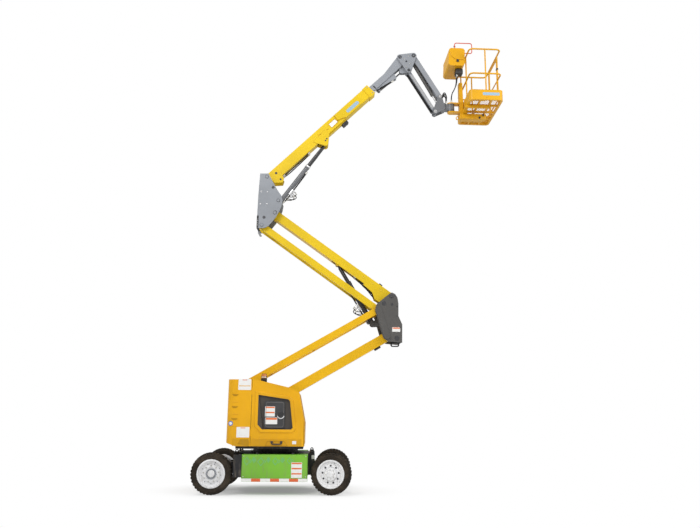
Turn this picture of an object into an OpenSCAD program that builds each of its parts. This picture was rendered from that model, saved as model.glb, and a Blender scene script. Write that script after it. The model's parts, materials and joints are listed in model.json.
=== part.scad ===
// Articulating boom lift: battery-driven chassis, slewing turntable, two-stage
// riser, telescopic main boom, jib and a small work platform.
// X points from the counterweight to the boom side, Y is the width and Z is up.
// The origin lies on the ground under the slewing centre. Points of the boom
// system are [x, z] pairs in the middle plane.

/* [Wheels] */
// Distance between the axles
wheelbase = 2030; // [1900:10:2200]
// Width over the tyres
overall_w = 1790; // [1740:10:1900]
// Diameter of a tyre
tyre_d = 690; // [640:10:720]
// Width of a tyre
tyre_w = 232; // [200:4:250]
// Diameter of a rim at its flange
rim_d = 470; // [400:10:500]
// Angle at which the steered wheels stand
steer_rest = -10; // [-20:1:20]

/* [Chassis] */
// Length of the chassis box
chassis_l = 1400; // [1300:10:1460]
// Width of the chassis box between the battery boxes
chassis_w = 860; // [760:10:900]
// Height of the deck above the ground
deck_z = 660; // [640:5:700]
// Depth of the chassis box
chassis_h = 360; // [300:10:380]
// Thickness of the chassis plates
chassis_t = 12; // [8:1:20]
// Length of a battery box
battery_l = 1100; // [900:10:1120]
// Width over both battery boxes
battery_w = 1720; // [1600:10:1740]
// Height of a battery box
battery_h = 436; // [340:4:480]

/* [Turntable] */
// Radius of the slewing ring
slew_r = 400; // [340:10:440]
// Height of the slewing ring
slew_h = 86; // [70:2:110]
// Thickness of the turntable floor
floor_t = 44; // [30:2:60]
// Width over the turntable covers
cover_w = 1700; // [1560:10:1760]
// Height of the covers at the counterweight
cover_top = 1912; // [1850:2:1960]
// Length from the slewing centre to the back of the counterweight
tail_l = 800; // [780:5:860]
// Width of the open slot for the booms
slot_w = 640; // [600:10:700]
// Thickness of the cover shells
cover_t = 8; // [4:1:14]
// Wall of the rear cover above the counterweight
tail_t = 30; // [16:2:50]

/* [Riser] */
// Depth of the lower arm
lower_arm_h = 168; // [140:2:190]
// Depth of the upper arm
upper_arm_h = 160; // [140:2:180]
// Width of both arms
arm_w = 200; // [170:2:204]
// Depth of the lower links
lower_link_h = 122; // [90:2:130]
// Depth of the upper links
upper_link_h = 126; // [90:2:134]
// Width of one link bar
link_w = 44; // [30:1:44]
// Wall of arms and links
arm_t = 8; // [5:1:12]
// Radius of the riser pins
pin_r = 28; // [20:1:34]
// Clearance round a pin
pin_gap = 0.3; // [0.2:0.05:0.5]
// Thickness of the side plates
plate_t = 18; // [12:1:20]
// Width over the knuckle plates
knuckle_w = 480; // [476:2:520]
// Width over the upright plates
upright_w = 416; // [400:2:440]

/* [Main boom] */
// Depth of the outer boom
boom_h = 214; // [190:2:230]
// Width of the outer boom
boom_w = 180; // [160:2:190]
// Wall of the boom tubes
boom_t = 8; // [5:1:10]
// Length of the outer boom in front of its pivot
boom_l = 2800; // [2600:10:2900]
// Depth of the fly tube
fly_h = 120; // [100:2:126]
// Width of the fly tube
fly_w = 140; // [110:2:146]

/* [Cylinders] */
// Radius of the riser cylinder barrel
riser_r = 47; // [36:1:50]
// Radius of the lift cylinder barrel
lift_r = 45; // [36:1:52]
// Radius of the levelling cylinder barrel
level_r = 28; // [22:1:32]
// Radius of the jib cylinder barrel
jib_cyl_r = 32; // [26:1:34]

/* [Jib] */
// Length of the jib between its pins
jib_l = 1030; // [900:10:1150]
// Angle of the jib
jib_angle = -59; // [-65:1:-50]
// Depth of the jib arm
jib_h = 96; // [80:2:110]
// Width of the jib arm
jib_w = 144; // [130:2:150]

/* [Platform] */
// Length of the platform across the boom
platform_l = 1220; // [1000:10:1400]
// Width of the platform
platform_w = 660; // [600:10:760]
// Height of the rails above the floor
rail_h = 1090; // [1000:10:1150]
// Diameter of the rail tube
rail_d = 32; // [25:1:40]
// Height of the toe board
toe_h = 210; // [100:5:240]
// Thickness of the floor frame
floor_frame_t = 40; // [30:2:60]

/* [Hidden] */
$fn = 48;

yellow = [0.96, 0.80, 0.14];
amber = [0.92, 0.66, 0.10];
pale_grey = [0.66, 0.68, 0.71];
mid_grey = [0.62, 0.63, 0.65];
dark_grey = [0.33, 0.32, 0.31];
black = [0.07, 0.07, 0.08];
green = [0.38, 0.76, 0.22];
silver = [0.80, 0.81, 0.83];
chrome = [0.85, 0.86, 0.88];
red = [0.80, 0.22, 0.16];

cut = 1;
seat = 0.3;

// Boom system points, [x, z]
t1 = [-430, 1335];
k1 = [1991, 2745];
k2 = [1836, 3240];
k3 = [2078, 3487];
t2 = t1 + k2 - k1;
u4 = [-383, 4822];
u3 = u4 + k3 - k2;
boom_pivot = [-315, 5785];
boom_angle = 45;
boom_drop = 40;
head_lift = 56.6;
fly_show = 940.6;
head_pin = boom_pivot + (boom_l + fly_show) * dir(boom_angle) + head_lift * dir(boom_angle + 90);
j1 = head_pin + [281, 43];
j2 = j1 + [-100, -325];
riser_base = [1745, 2996];
riser_eye = k3 + 1190 * dir(144.5) + 60 * dir(234.5);
lift_base = [-84, 5315];
lift_eye = [799, 6558];
level_base = head_pin + 800 * dir(225) + 207 * dir(315);
level_eye = head_pin + 300 * dir(-84);
e1 = j1 + jib_l * dir(jib_angle);
e2 = e1 + j2 - j1;
jib_base = j1 + [-45, -45];
jib_eye = e1 + [-35, -135];
rotator_x = e1[0] + 228.5;
platform_x = rotator_x + 590;
platform_z = e1[1] - 290;

// Widths from the middle plane
arm_y = arm_w / 2;
upper_link_y = 105;
lower_link_y = 164;
knuckle_y = knuckle_w / 2;
upright_y = upright_w / 2;
frame_y = 240;

function dir(a) = [cos(a), sin(a)];
function angle_of(a, b) = atan2(b[1] - a[1], b[0] - a[0]);

// Moves children to a point of the middle plane and turns their X along an angle
module at(p, a = 0) {
    translate([p[0], 0, p[1]]) rotate([0, -a, 0]) children();
}

// Extrudes an outline of the middle plane from y0 to y1
module slab(y0, y1) {
    translate([0, y1, 0]) rotate([90, 0, 0]) linear_extrude(y1 - y0) children();
}

// The same slab on both sides, given for the left side
module slabs(y0, y1) {
    slab(y0, y1) children();
    slab(-y1, -y0) children();
}

// Round bar across the machine
module cross(p, r, half) {
    translate([p[0], 0, p[1]]) rotate([90, 0, 0]) cylinder(r = r, h = 2 * half, center = true);
}

// Two short round bars, one on each side
module cross_pair(p, r, y0, y1) {
    for (s = [-1, 1])
        translate([p[0], s * (y0 + y1) / 2, p[1]]) rotate([90, 0, 0])
            cylinder(r = r, h = y1 - y0, center = true);
}

// Box along X with its own start, end, depth and width
module bar(x0, x1, h, w) {
    translate([x0, -w / 2, -h / 2]) cube([x1 - x0, w, h]);
}

// Closed box tube along X
module tube(x0, x1, h, w, t) {
    difference() {
        bar(x0, x1, h, w);
        bar(x0 + t, x1 - t, h - 2 * t, w - 2 * t);
    }
}

// Chassis
axle_x = wheelbase / 2;
axle_z = tyre_d / 2;
wheel_y = overall_w / 2 - tyre_w / 2;
kingpin_y = overall_w / 2 - tyre_w - 60;
hub_y = wheel_y - 40;
spindle_r = 45;
wing_x = 655;
lug_x = 650;
lug_bore = 13;

module chassis_frame() color(black) {
    difference() {
        translate([-chassis_l / 2, -chassis_w / 2, deck_z - chassis_h])
            cube([chassis_l, chassis_w, chassis_h]);
        translate([-chassis_l / 2 + chassis_t, -chassis_w / 2 + chassis_t, deck_z - chassis_h + chassis_t])
            cube([chassis_l - 2 * chassis_t, chassis_w - 2 * chassis_t, chassis_h - 2 * chassis_t]);
    }
    // Wings behind the battery boxes
    for (s = [-1, 1])
        translate([-wing_x, s > 0 ? chassis_w / 2 - cut : -battery_w / 2 + 5, deck_z - 370])
            cube([wing_x + 33 - battery_l / 2 - 2, battery_w / 2 - chassis_w / 2 - 5 + cut, 360]);
    // Tie-down lugs on the corners of the deck
    for (x = [-lug_x, lug_x])
        difference() {
            slabs(chassis_w / 2 - 50, chassis_w / 2 - 30)
                hull() {
                    translate([x, deck_z + 38]) circle(r = 28);
                    translate([x - 42, deck_z - cut]) square([84, 2]);
                }
            cross([x, deck_z + 38], lug_bore, chassis_w);
        }
    // Fixed rear axle beam with its two spindles
    translate([-axle_x - 70, -wheel_y + 160, axle_z - 70]) cube([140, 2 * wheel_y - 320, 140]);
    translate([-axle_x + 70, -240, axle_z - 40])
        cube([axle_x - chassis_l / 2 - 70 + chassis_t, 480, 200]);
    at([-axle_x, axle_z]) rotate([90, 0, 0]) cylinder(r = spindle_r, h = 2 * hub_y, center = true);
    // Bracket that carries the front axle
    translate([chassis_l / 2 - chassis_t, -200, axle_z - 40])
        cube([axle_x - 80 - chassis_l / 2 + chassis_t, 400, 200]);
}

module battery_boxes() {
    box_w = (battery_w - chassis_w) / 2;
    for (s = [-1, 1])
        translate([33, s * (chassis_w / 2 + box_w / 2), deck_z - 4 - battery_h]) {
            color(green) difference() {
                translate([-battery_l / 2, -box_w / 2, 0]) cube([battery_l, box_w, battery_h]);
                for (e = [-1, 1])
                    translate([e * battery_l / 2, s * box_w / 2, battery_h / 2])
                        cube([60, 24, battery_h + 2], center = true);
            }
        }
}

module axle_front() color(black) {
    difference() {
        union() {
            translate([axle_x - 80, -kingpin_y + 70, axle_z - 65])
                cube([150, 2 * kingpin_y - 140, 130]);
            for (s = [-1, 1]) {
                translate([axle_x - 4, s * (kingpin_y - 110), axle_z]) cube([120, 40, 200], center = true);
                for (z = [-1, 1])
                    translate([axle_x, s * kingpin_y, axle_z + z * 85 - 15]) linear_extrude(30)
                        hull() {
                            circle(r = 48);
                            translate([-4, -s * 100]) square([110, 20], center = true);
                        }
            }
        }
        for (s = [-1, 1])
            translate([axle_x, s * kingpin_y, axle_z]) cylinder(r = kingpin_r + pin_gap, h = 300, center = true);
    }
}

// Steering arm from the kingpin, and the levels below the axle of arm and tie rod
steer_arm = [-150, 0];
arm_low = -132;
arm_high = -106;
kingpin_r = 22;
tie_r = 12;
module steer_knuckle(s) color(dark_grey) {
    reach = hub_y - kingpin_y;
    translate([axle_x, s * kingpin_y, axle_z]) rotate([0, 0, steer_rest]) {
        translate([0, 0, arm_low]) cylinder(r = kingpin_r, h = 110 - arm_low);
        cylinder(r = 45, h = 138, center = true);
        rotate([90, 0, 0]) translate([0, 0, -s * reach / 2])
            cylinder(r = spindle_r, h = reach, center = true);
        difference() {
            translate([0, 0, arm_low]) linear_extrude(arm_high - arm_low)
                hull() {
                    circle(r = 34);
                    translate(steer_arm) circle(r = 26);
                }
            translate([steer_arm[0], steer_arm[1], arm_low - cut]) cylinder(r = tie_r + pin_gap, h = 80);
        }
    }
}

function turned(p, a) = [p[0] * cos(a) - p[1] * sin(a), p[0] * sin(a) + p[1] * cos(a)];
function tie_pin(s) = [axle_x, s * kingpin_y] + turned(steer_arm, steer_rest);

module tie_rod() color(dark_grey) {
    for (s = [-1, 1])
        translate([tie_pin(s)[0], tie_pin(s)[1], axle_z + arm_low]) {
            translate([0, 0, -2]) cylinder(r = tie_r, h = arm_high - arm_low + 10);
            translate([0, 0, -30]) cylinder(r = 24, h = 30 - seat);
        }
    translate([tie_pin(1)[0], (tie_pin(1)[1] + tie_pin(-1)[1]) / 2, axle_z + arm_low - 15]) rotate([90, 0, 0])
        cylinder(r = 14, h = 2 * kingpin_y - 30, center = true);
}

module tyre(x, s, a) color(black) {
    translate([x, s * kingpin_y, axle_z]) rotate([0, 0, a]) translate([0, s * (wheel_y - kingpin_y), 0])
        rotate([90, 0, 0]) rotate_extrude($fn = 64)
            polygon([[rim_d / 2, -tyre_w / 2 + 22], [rim_d / 2 + 24, -tyre_w / 2 + 4],
                [tyre_d / 2 - 50, -tyre_w / 2], [tyre_d / 2 - 18, -tyre_w / 2 + 18],
                [tyre_d / 2, -tyre_w / 2 + 44], [tyre_d / 2, tyre_w / 2 - 44],
                [tyre_d / 2 - 18, tyre_w / 2 - 18], [tyre_d / 2 - 50, tyre_w / 2],
                [rim_d / 2 + 24, tyre_w / 2 - 4], [rim_d / 2, tyre_w / 2 - 22]]);
}

// Rim with its disc and hub; the disc is set back by inset from the outer face
hub_in = 92;
module rim(x, s, a, inset, hub_out) color(silver) {
    translate([x, s * kingpin_y, axle_z]) rotate([0, 0, a]) translate([0, s * (wheel_y - kingpin_y), 0])
        rotate([s * 90, 0, 0]) {
            rotate_extrude($fn = 64)
                polygon([[rim_d / 2 - 34, tyre_w / 2 - 20], [rim_d / 2, tyre_w / 2 - 22],
                    [rim_d / 2, -tyre_w / 2 + 22], [rim_d / 2 - 30, -tyre_w / 2 + 22],
                    [rim_d / 2 - 26, -tyre_w / 2 + 34], [rim_d / 2 - 26, tyre_w / 2 - 36]]);
            difference() {
                union() {
                    translate([0, 0, -tyre_w / 2 + inset]) cylinder(r = rim_d / 2 - 20, h = 16);
                    translate([0, 0, -tyre_w / 2 + inset - hub_out])
                        cylinder(r = 88, h = tyre_w / 2 - inset + hub_out + hub_in);
                }
                translate([0, 0, wheel_y - hub_y - seat]) cylinder(r = spindle_r + pin_gap, h = 400);
            }
        }
}

module slew_ring() color(black) {
    difference() {
        translate([0, 0, deck_z]) cylinder(r = slew_r, h = slew_h, $fn = 96);
        translate([0, 0, deck_z - cut]) cylinder(r = slew_r - 90, h = slew_h + 2 * cut, $fn = 96);
    }
}

// Turntable
floor_z = deck_z + slew_h + seat;
floor_top = floor_z + floor_t;
tail_front = -392;
cover_hinge = [tail_front + 3, cover_w / 2];
hinge_r = 5;
hinge_l = 120;
hinge_z = [950, 1640];

module turntable_frame() color(black) {
    translate([0, 0, floor_z]) linear_extrude(floor_t)
        polygon([[-640, -780], [500, -780], [500, 780], [-640, 780]]);
    difference() {
        slabs(frame_y - plate_t, frame_y)
            polygon([[-690, floor_top - cut], [60, floor_top - cut], [-180, 1330], [-480, t2[1] + 40],
                [-540, t2[1] + 62], [-640, t2[1] + 62], [-690, t2[1]]]);
        cross(t1, pin_r, frame_y + cut);
        cross(t2, pin_r, frame_y + cut);
    }
    cross(t1, pin_r, frame_y + 8);
    cross(t2, pin_r, frame_y + 8);
    translate([-688, -frame_y + plate_t, floor_top - cut]) cube([14, 2 * (frame_y - plate_t), 900]);
}

module tail_plan(inset, slot) {
    difference() {
        offset(r = 110 - inset) offset(delta = -110)
            polygon([[-tail_l, -cover_w / 2], [tail_front + 400, -cover_w / 2],
                [tail_front + 400, cover_w / 2], [-tail_l, cover_w / 2]]);
        translate([tail_front, -cover_w]) square([800, 2 * cover_w]);
        if (slot) translate([-694, -slot_w / 2 + 66]) square([800, slot_w - 132]);
    }
}

module counterweight() color(amber) {
    weight_top = 1330;
    difference() {
        translate([0, 0, floor_top]) linear_extrude(cover_top - 14 - floor_top) tail_plan(0, true);
        translate([0, 0, weight_top]) linear_extrude(cover_top - 14 - tail_t - weight_top)
            intersection() {
                tail_plan(tail_t, true);
                translate([-tail_l, -cover_w / 2]) square([tail_l + tail_front + cut, cover_w]);
            }
        slab(-cover_w, cover_w)
            polygon([[-tail_l - cut, floor_top - cut], [-640, floor_top - cut], [-tail_l - cut, 846]]);
        // Grooves for the hinges of the covers
        for (s = [-1, 1])
            for (z = hinge_z)
                translate([cover_hinge[0], s * cover_hinge[1], z - cut])
                    cylinder(r = hinge_r + pin_gap, h = hinge_l + 2 * cut);
        // Slotted vents in the flanks
        for (z = [1230, 1430, 1630])
            for (s = [-1, 1])
                translate([-620, s * cover_w / 2, z]) rotate([0, 25, 0]) cube([120, 44, 44], center = true);
    }
}

module hood_outline(inset) {
    offset(delta = -inset)
        polygon([[tail_front + 6, floor_top + seat], [519, floor_top + seat], [521, 1173], [464, 1455],
            [416, 1687], [248, 1767], [tail_front + 6, cover_top]]);
}

recess = [[-272, 1640], [255, 1563], [319, 1071], [-190, 1067]];
module hood(s) color(amber) {
    difference() {
        intersection() {
            slab(s > 0 ? slot_w / 2 : -cover_w / 2, s > 0 ? cover_w / 2 : -slot_w / 2) hood_outline(0);
            linear_extrude(2500) offset(r = 90) offset(delta = -90)
                polygon([[-900, -cover_w / 2], [560, -cover_w / 2], [560, cover_w / 2], [-900, cover_w / 2]]);
        }
        difference() {
            slab(s > 0 ? slot_w / 2 + cover_t : -cover_w / 2 + cover_t,
                s > 0 ? cover_w / 2 - cover_t : -slot_w / 2 - cover_t) hood_outline(cover_t);
            slab(s > 0 ? cover_w / 2 - 44 : -cover_w, s > 0 ? cover_w : -cover_w / 2 + 44)
                offset(delta = 10) polygon(recess);
        }
        // Open underside
        translate([tail_front + 6 + cover_t, s > 0 ? slot_w / 2 + cover_t : -cover_w / 2 + 44, floor_top - cut])
            cube([880, (cover_w - slot_w) / 2 - cover_t - 44, 20]);
        slab(s > 0 ? cover_w / 2 - 34 : -cover_w, s > 0 ? cover_w : -cover_w / 2 + 34) polygon(recess);
    }
    // Hinge barrels on the rear edge
    for (z = hinge_z)
        translate([cover_hinge[0], s * cover_hinge[1], z]) {
            cylinder(r = hinge_r, h = hinge_l);
            translate([0, s > 0 ? -5 : 0, 0]) cube([7, 5, hinge_l]);
        }
}

module control_door() color(dark_grey) {
    slab(-cover_w / 2 + 12, -cover_w / 2 + 33.7)
        offset(r = 40) offset(delta = -40) polygon([[-170, 1085], [180, 1085], [180, 1540], [-170, 1540]]);
    // Hinge barrels on the rear edge
    for (z = [1150, 1400])
        translate([-170, -cover_w / 2 + 12, z]) cylinder(r = 6, h = 75);
}

module beacon() {
    translate([-215, -520, 0]) {
        color(black) difference() {
            translate([0, 0, cover_top - 60]) cylinder(r = 52, h = 84);
            translate([215, 520, 0]) slab(-cover_w / 2, 0) hood_outline(-seat);
        }
        color([0.95, 0.5, 0.1]) translate([0, 0, cover_top + 24]) cylinder(r = 42, h = 62);
        color([0.95, 0.5, 0.1]) translate([0, 0, cover_top + 86]) cylinder(r1 = 42, r2 = 30, h = 16);
    }
}

// Riser
lower_l = norm(k1 - t1);
lower_angle = angle_of(t1, k1);
upper_l = norm(u3 - k3);
upper_angle = angle_of(k3, u3);

// Arm between two pins with a bushed bore at each end
module arm(l, h, w, t) {
    difference() {
        union() {
            tube(-h / 2 + 12, l + h / 2 - 12, h, w, t);
            for (x = [0, l])
                translate([x, 0, 0]) rotate([90, 0, 0]) cylinder(r = pin_r + 22, h = w - 2, center = true);
        }
        for (x = [0, l])
            translate([x, 0, 0]) rotate([90, 0, 0]) cylinder(r = pin_r + pin_gap, h = w + 2, center = true);
    }
}

module lower_arm() color(amber) at(t1, lower_angle) arm(lower_l, lower_arm_h, arm_w, arm_t);

// Pair of link bars between two pins
module link_pair(l, h, y0) {
    for (s = [-1, 1])
        difference() {
            union() {
                translate([0, s * (y0 + link_w / 2), 0]) tube(0, l, h, link_w, 6);
                for (x = [0, l])
                    translate([x, s * (y0 + link_w / 2), 0]) rotate([90, 0, 0])
                        cylinder(r = h / 2, h = link_w, center = true);
            }
            for (x = [0, l])
                translate([x, 0, 0]) rotate([90, 0, 0]) cylinder(r = pin_r + pin_gap, h = 900, center = true);
        }
}

module lower_link() color(amber) {
    at(t2, lower_angle) {
        link_pair(lower_l, lower_link_h, lower_link_y);
        for (x = [0.18, 0.5] * lower_l)
            translate([x, 0, 0]) rotate([90, 0, 0]) cylinder(r = 30, h = 2 * lower_link_y + 4, center = true);
    }
}

knuckle_outline = [[1786, 3299], [1810, 3348], [2054, 3547], [2088, 3562], [2150, 3530], [2190, 3464],
    [2208, 3355], [2206, 3119], [2276, 2963], [2272, 2624], [2013, 2648], [1930, 2700], [1905, 2760],
    [1770, 3220]];

module riser_knuckle() color(dark_grey) {
    difference() {
        slabs(knuckle_y - plate_t, knuckle_y) polygon(knuckle_outline);
        cross([1939, 3353], 20, 400);
        cross([2176, 2707], 26, 400);
        cross([2089, 3338], 10, 400);
    }
    for (p = [k1, k2, k3])
        cross(p, pin_r, knuckle_y + 10);
    // Stadium plate over the two lower pins
    slabs(knuckle_y, knuckle_y + 12)
        hull() {
            translate(k1) circle(r = 58);
            translate(k2) circle(r = 58);
        }
    // Web that ties the plates behind the arms
    slab(-knuckle_y + plate_t, knuckle_y - plate_t)
        polygon([[2206, 3119], [2196, 3119], [2262, 2960], [2262, 2640], [2272, 2640], [2276, 2963]]);
    // Ears for the riser cylinder
    for (s = [-1, 1])
        slab(s > 0 ? 58 : -76, s > 0 ? 76 : -58)
            difference() {
                hull() {
                    translate(riser_base) circle(r = 55);
                    translate([2180, 3020]) circle(r = 50);
                }
                translate([2160, 2900]) square([200, 300]);
            }
    slab(-76, 76) polygon([[2150, 3070], [2202, 3119], [2202, 2980], [2150, 2980]]);
    slab(-knuckle_y + plate_t, knuckle_y - plate_t) polygon([[2150, 2990], [2170, 2990], [2170, 3060], [2150, 3060]]);
    cross(riser_base, 26, 84);
}

riser_slot_x0 = 760;
riser_slot_l = 560;

module upper_arm() color(yellow) {
    difference() {
        union() {
            at(k3, upper_angle) arm(upper_l, upper_arm_h, arm_w, arm_t);
            // Flared cheeks towards the knuckle
            slabs(arm_y - 10, arm_y)
                translate(k3)
                    polygon([[-527, 245], [-351, 95], [-307, -34], [-199, -99], [-118, -67], [-78, 73],
                        [-378, 293]]);
        }
        // Slot for the riser cylinder
        at(k3, upper_angle)
            translate([riser_slot_x0, -riser_r - 10, arm_t - upper_arm_h / 2])
                cube([riser_slot_l, 2 * riser_r + 20, upper_arm_h]);
        cross(k3, pin_r + pin_gap, 300);
    }
    cross_pair(riser_eye, 26, 40, arm_y + 8);
    // Ears that hold the eye of the riser cylinder
    slabs(40, 64)
        hull() {
            translate(riser_eye) circle(r = 44);
            translate(riser_eye + 110 * dir(54.5) + 70 * dir(144.5)) circle(r = 10);
            translate(riser_eye + 110 * dir(54.5) - 70 * dir(144.5)) circle(r = 10);
        }
}

module upper_link() color(yellow) {
    at(k2, upper_angle) {
        link_pair(upper_l, upper_link_h, upper_link_y);
        for (x = [0.62, 0.88] * upper_l)
            translate([x, 0, 0]) rotate([90, 0, 0]) cylinder(r = 30, h = 2 * upper_link_y + 4, center = true);
    }
}

// Barrel of a cylinder from its base eye to its gland, along X
module barrel(r, bore, l, eye_r, eye_w, eye_pin) {
    difference() {
        union() {
            translate([eye_r + 6, 0, 0]) rotate([0, 90, 0]) cylinder(r = r, h = l - eye_r - 6);
            translate([l - 60, 0, 0]) rotate([0, 90, 0]) cylinder(r = r + 4, h = 60);
            rotate([90, 0, 0]) cylinder(r = eye_r, h = eye_w, center = true);
            bar(0, eye_r + 12, eye_r * 1.4, eye_w);
        }
        translate([2 * eye_r + 10, 0, 0]) rotate([0, 90, 0]) cylinder(r = bore, h = l);
        rotate([90, 0, 0]) cylinder(r = eye_pin + pin_gap, h = 400, center = true);
    }
}

// Rod of a cylinder: piston at the start, eye at the end, along X
module rod(r, x0, l, eye_r, eye_w) {
    translate([x0, 0, 0]) rotate([0, 90, 0]) cylinder(r = r, h = l - x0 - eye_r / 2);
    translate([l, 0, 0]) rotate([90, 0, 0]) cylinder(r = eye_r, h = eye_w, center = true);
}

riser_cyl_l = norm(riser_eye - riser_base);
riser_cyl_a = angle_of(riser_base, riser_eye);
module riser_cylinder() color(mid_grey) at(riser_base, riser_cyl_a) barrel(riser_r, 27, 920, 44, 100, 26);
module riser_rod() color(black) at(riser_base, riser_cyl_a) rod(26, 440, riser_cyl_l, 40, 66);

// Upright
upright_outline = [[-448, 5847], [-285, 5852], [-199, 5684], [-96, 5505], [-32, 5418], [-1, 5319],
    [-18, 5213], [-66, 5086], [-122, 4980], [-250, 4809], [-326, 4764], [-477, 4761], [-476, 4954],
    [-467, 5415]];
module upright() color(pale_grey) {
    difference() {
        slabs(upright_y - plate_t, upright_y) polygon(upright_outline);
        cross([-192, 5575], 13, 400);
    }
    cross(u3, pin_r, upright_y + 8);
    cross(u4, pin_r, upright_y + 8);
    cross(boom_pivot, pin_r, upright_y + 8);
    cross(lift_base, 26, upright_y + 8);
    // Back plate
    slab(-upright_y + plate_t, upright_y - plate_t)
        polygon([[-472, 5010], [-463, 5415], [-448, 5620], [-436, 5620], [-451, 5415], [-460, 5010]]);
    // Foot at the lower rear edge
    slabs(upright_y - plate_t - 14, upright_y - plate_t)
        polygon([[-480, 4960], [-440, 4960], [-440, 4770], [-400, 4700], [-440, 4690], [-480, 4761]]);
}

// Main boom
pad_w = 90;

// Four wear pads between two box tubes, from x0 to x1
module wear_pads(x0, x1, y0, y1, z0, z1) {
    for (s = [-1, 1]) {
        translate([x0, s * (y0 + y1) / 2 - (y1 - y0) / 2, -pad_w / 2]) cube([x1 - x0, y1 - y0, pad_w]);
        translate([x0, -pad_w / 2, s * (z0 + z1) / 2 - (z1 - z0) / 2]) cube([x1 - x0, pad_w, z1 - z0]);
    }
}

boom_axis = boom_pivot + boom_drop * dir(boom_angle - 90);
module boom_outer() color(yellow) {
    difference() {
        union() {
            at(boom_axis, boom_angle) {
                difference() {
                    bar(-70, boom_l, boom_h, boom_w);
                    bar(-70 + boom_t, boom_l + cut, boom_h - 2 * boom_t, boom_w - 2 * boom_t);
                }
                // Collar at the mouth
                difference() {
                    bar(boom_l - 130, boom_l + 6, boom_h + 20, boom_w + 20);
                    bar(boom_l - 140, boom_l + 10, boom_h - boom_t, boom_w - boom_t);
                }
            }
            at(boom_pivot) rotate([90, 0, 0]) cylinder(r = pin_r + 24, h = boom_w - 2, center = true);
            // Gusset that carries the lift cylinder
            slabs(boom_w / 2 - 1, boom_w / 2 + 12)
                hull() {
                    translate(lift_eye) circle(r = 58);
                    translate(lift_eye + 170 * dir(135) + 150 * dir(225)) circle(r = 10);
                    translate(lift_eye + 190 * dir(135) + 190 * dir(45)) circle(r = 10);
                    translate(lift_eye + 80 * dir(135) + 170 * dir(45)) circle(r = 10);
                }
        }
        cross(boom_pivot, pin_r + pin_gap, 300);
        // Slot over the eye of the lift cylinder
        at(boom_axis, boom_angle)
            translate([1210, -40, -boom_h / 2 - cut]) cube([250, 80, boom_t + 2 * cut]);
    }
    cross_pair(lift_eye, 24, 42, boom_w / 2 + 12);
    // Wear pads at the mouth, round the fly tube
    at(boom_axis, boom_angle)
        wear_pads(boom_l - 110, boom_l - 20, fly_w / 2 + seat, boom_w / 2 - boom_t + 2, fly_h / 2 + seat,
            boom_h / 2 - boom_t + 2);
    slabs(42, 60)
        hull() {
            translate(lift_eye) circle(r = 56);
            translate(lift_eye + 88 * dir(135) + 80 * dir(225)) circle(r = 10);
            translate(lift_eye + 88 * dir(135) + 100 * dir(45)) circle(r = 10);
        }
}

fly_back = 2500;
fly_tip = norm(head_pin - boom_pivot) * cos(angle_of(boom_pivot, head_pin) - boom_angle);
fly_fork = 340;
module boom_fly() color(pale_grey) {
    tube_end = fly_tip - fly_fork;
    low = -boom_drop - fly_h / 2;
    difference() {
        union() {
            at(boom_axis, boom_angle) {
                difference() {
                    bar(boom_l - fly_back, tube_end, fly_h, fly_w);
                    bar(boom_l - fly_back - cut, tube_end + cut, fly_h - 2 * boom_t, fly_w - 2 * boom_t);
                    // Slot for the levelling cylinder
                    translate([boom_l + 180, -level_r - 9, -fly_h])
                        cube([800, 2 * level_r + 18, fly_h]);
                }
            }
            // Wear pads at the rear end
            at(boom_axis, boom_angle)
                wear_pads(boom_l - fly_back, boom_l - fly_back + 90, fly_w / 2 - 2, boom_w / 2 - boom_t - seat,
                    fly_h / 2 - 2, boom_h / 2 - boom_t - seat);
            // Fork cheeks at the tip
            at(boom_pivot, boom_angle)
                slabs(fly_w / 2 - 12, fly_w / 2)
                    hull() {
                        translate([fly_tip, head_lift]) circle(r = 52);
                        translate([tube_end - 160, low]) square([20, fly_h]);
                        translate([fly_tip - 120, low]) square([20, 20]);
                    }
            // Gusset under the tube with the base of the levelling cylinder
            at(boom_pivot, boom_angle)
                slabs(38, 50)
                    union() {
                        polygon([[boom_l + 24, low + 4], [fly_tip - 357, low - 112], [fly_tip - 323, low + 4]]);
                        hull() {
                            translate([fly_tip - 800, head_lift - 207]) circle(r = 30);
                            translate([fly_tip - 830, low - 2]) square([60, 4]);
                        }
                    }
        }
        cross(head_pin, 24 + pin_gap, 300);
    }
    cross(level_base, 14, 56);
}

lift_cyl_l = norm(lift_eye - lift_base);
lift_cyl_a = angle_of(lift_base, lift_eye);
module lift_cylinder() color(mid_grey) at(lift_base, lift_cyl_a) barrel(lift_r, 31, 960, 44, 84, 26);
module lift_rod() color(black) at(lift_base, lift_cyl_a) rod(30, 560, lift_cyl_l, 38, 70);

// Jib head and levelling
module jib_head() color(pale_grey) {
    difference() {
        slabs(84, 98)
            hull() {
                translate(head_pin) circle(r = 60);
                translate(j1) circle(r = 62);
                translate(j2) circle(r = 52);
            }
        cross([2420, 8380], 20, 300);
    }
    cross(head_pin, 24, 104);
    cross_pair(j1, 24, 58, 104);
    cross(j2, 20, 104);
    // Inner lugs that hold the eye of the levelling cylinder
    slabs(24, 38)
        hull() {
            translate(head_pin) circle(r = 44);
            translate(level_eye) circle(r = 32);
            translate(j2) circle(r = 34);
        }
    // Lugs that hold the base of the jib cylinder
    slabs(41, 53)
        hull() {
            translate(head_pin) circle(r = 44);
            translate(jib_base) circle(r = 30);
        }
    cross(jib_base, 18, 54);
}

level_cyl_l = norm(level_eye - level_base);
level_cyl_a = angle_of(level_base, level_eye);
module level_cylinder() color(black) at(level_base, level_cyl_a) barrel(level_r, 16, 450, 24, 60, 14);
module level_rod() color(chrome) at(level_base, level_cyl_a) rod(15, 180, level_cyl_l, 24, 40);

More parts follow.
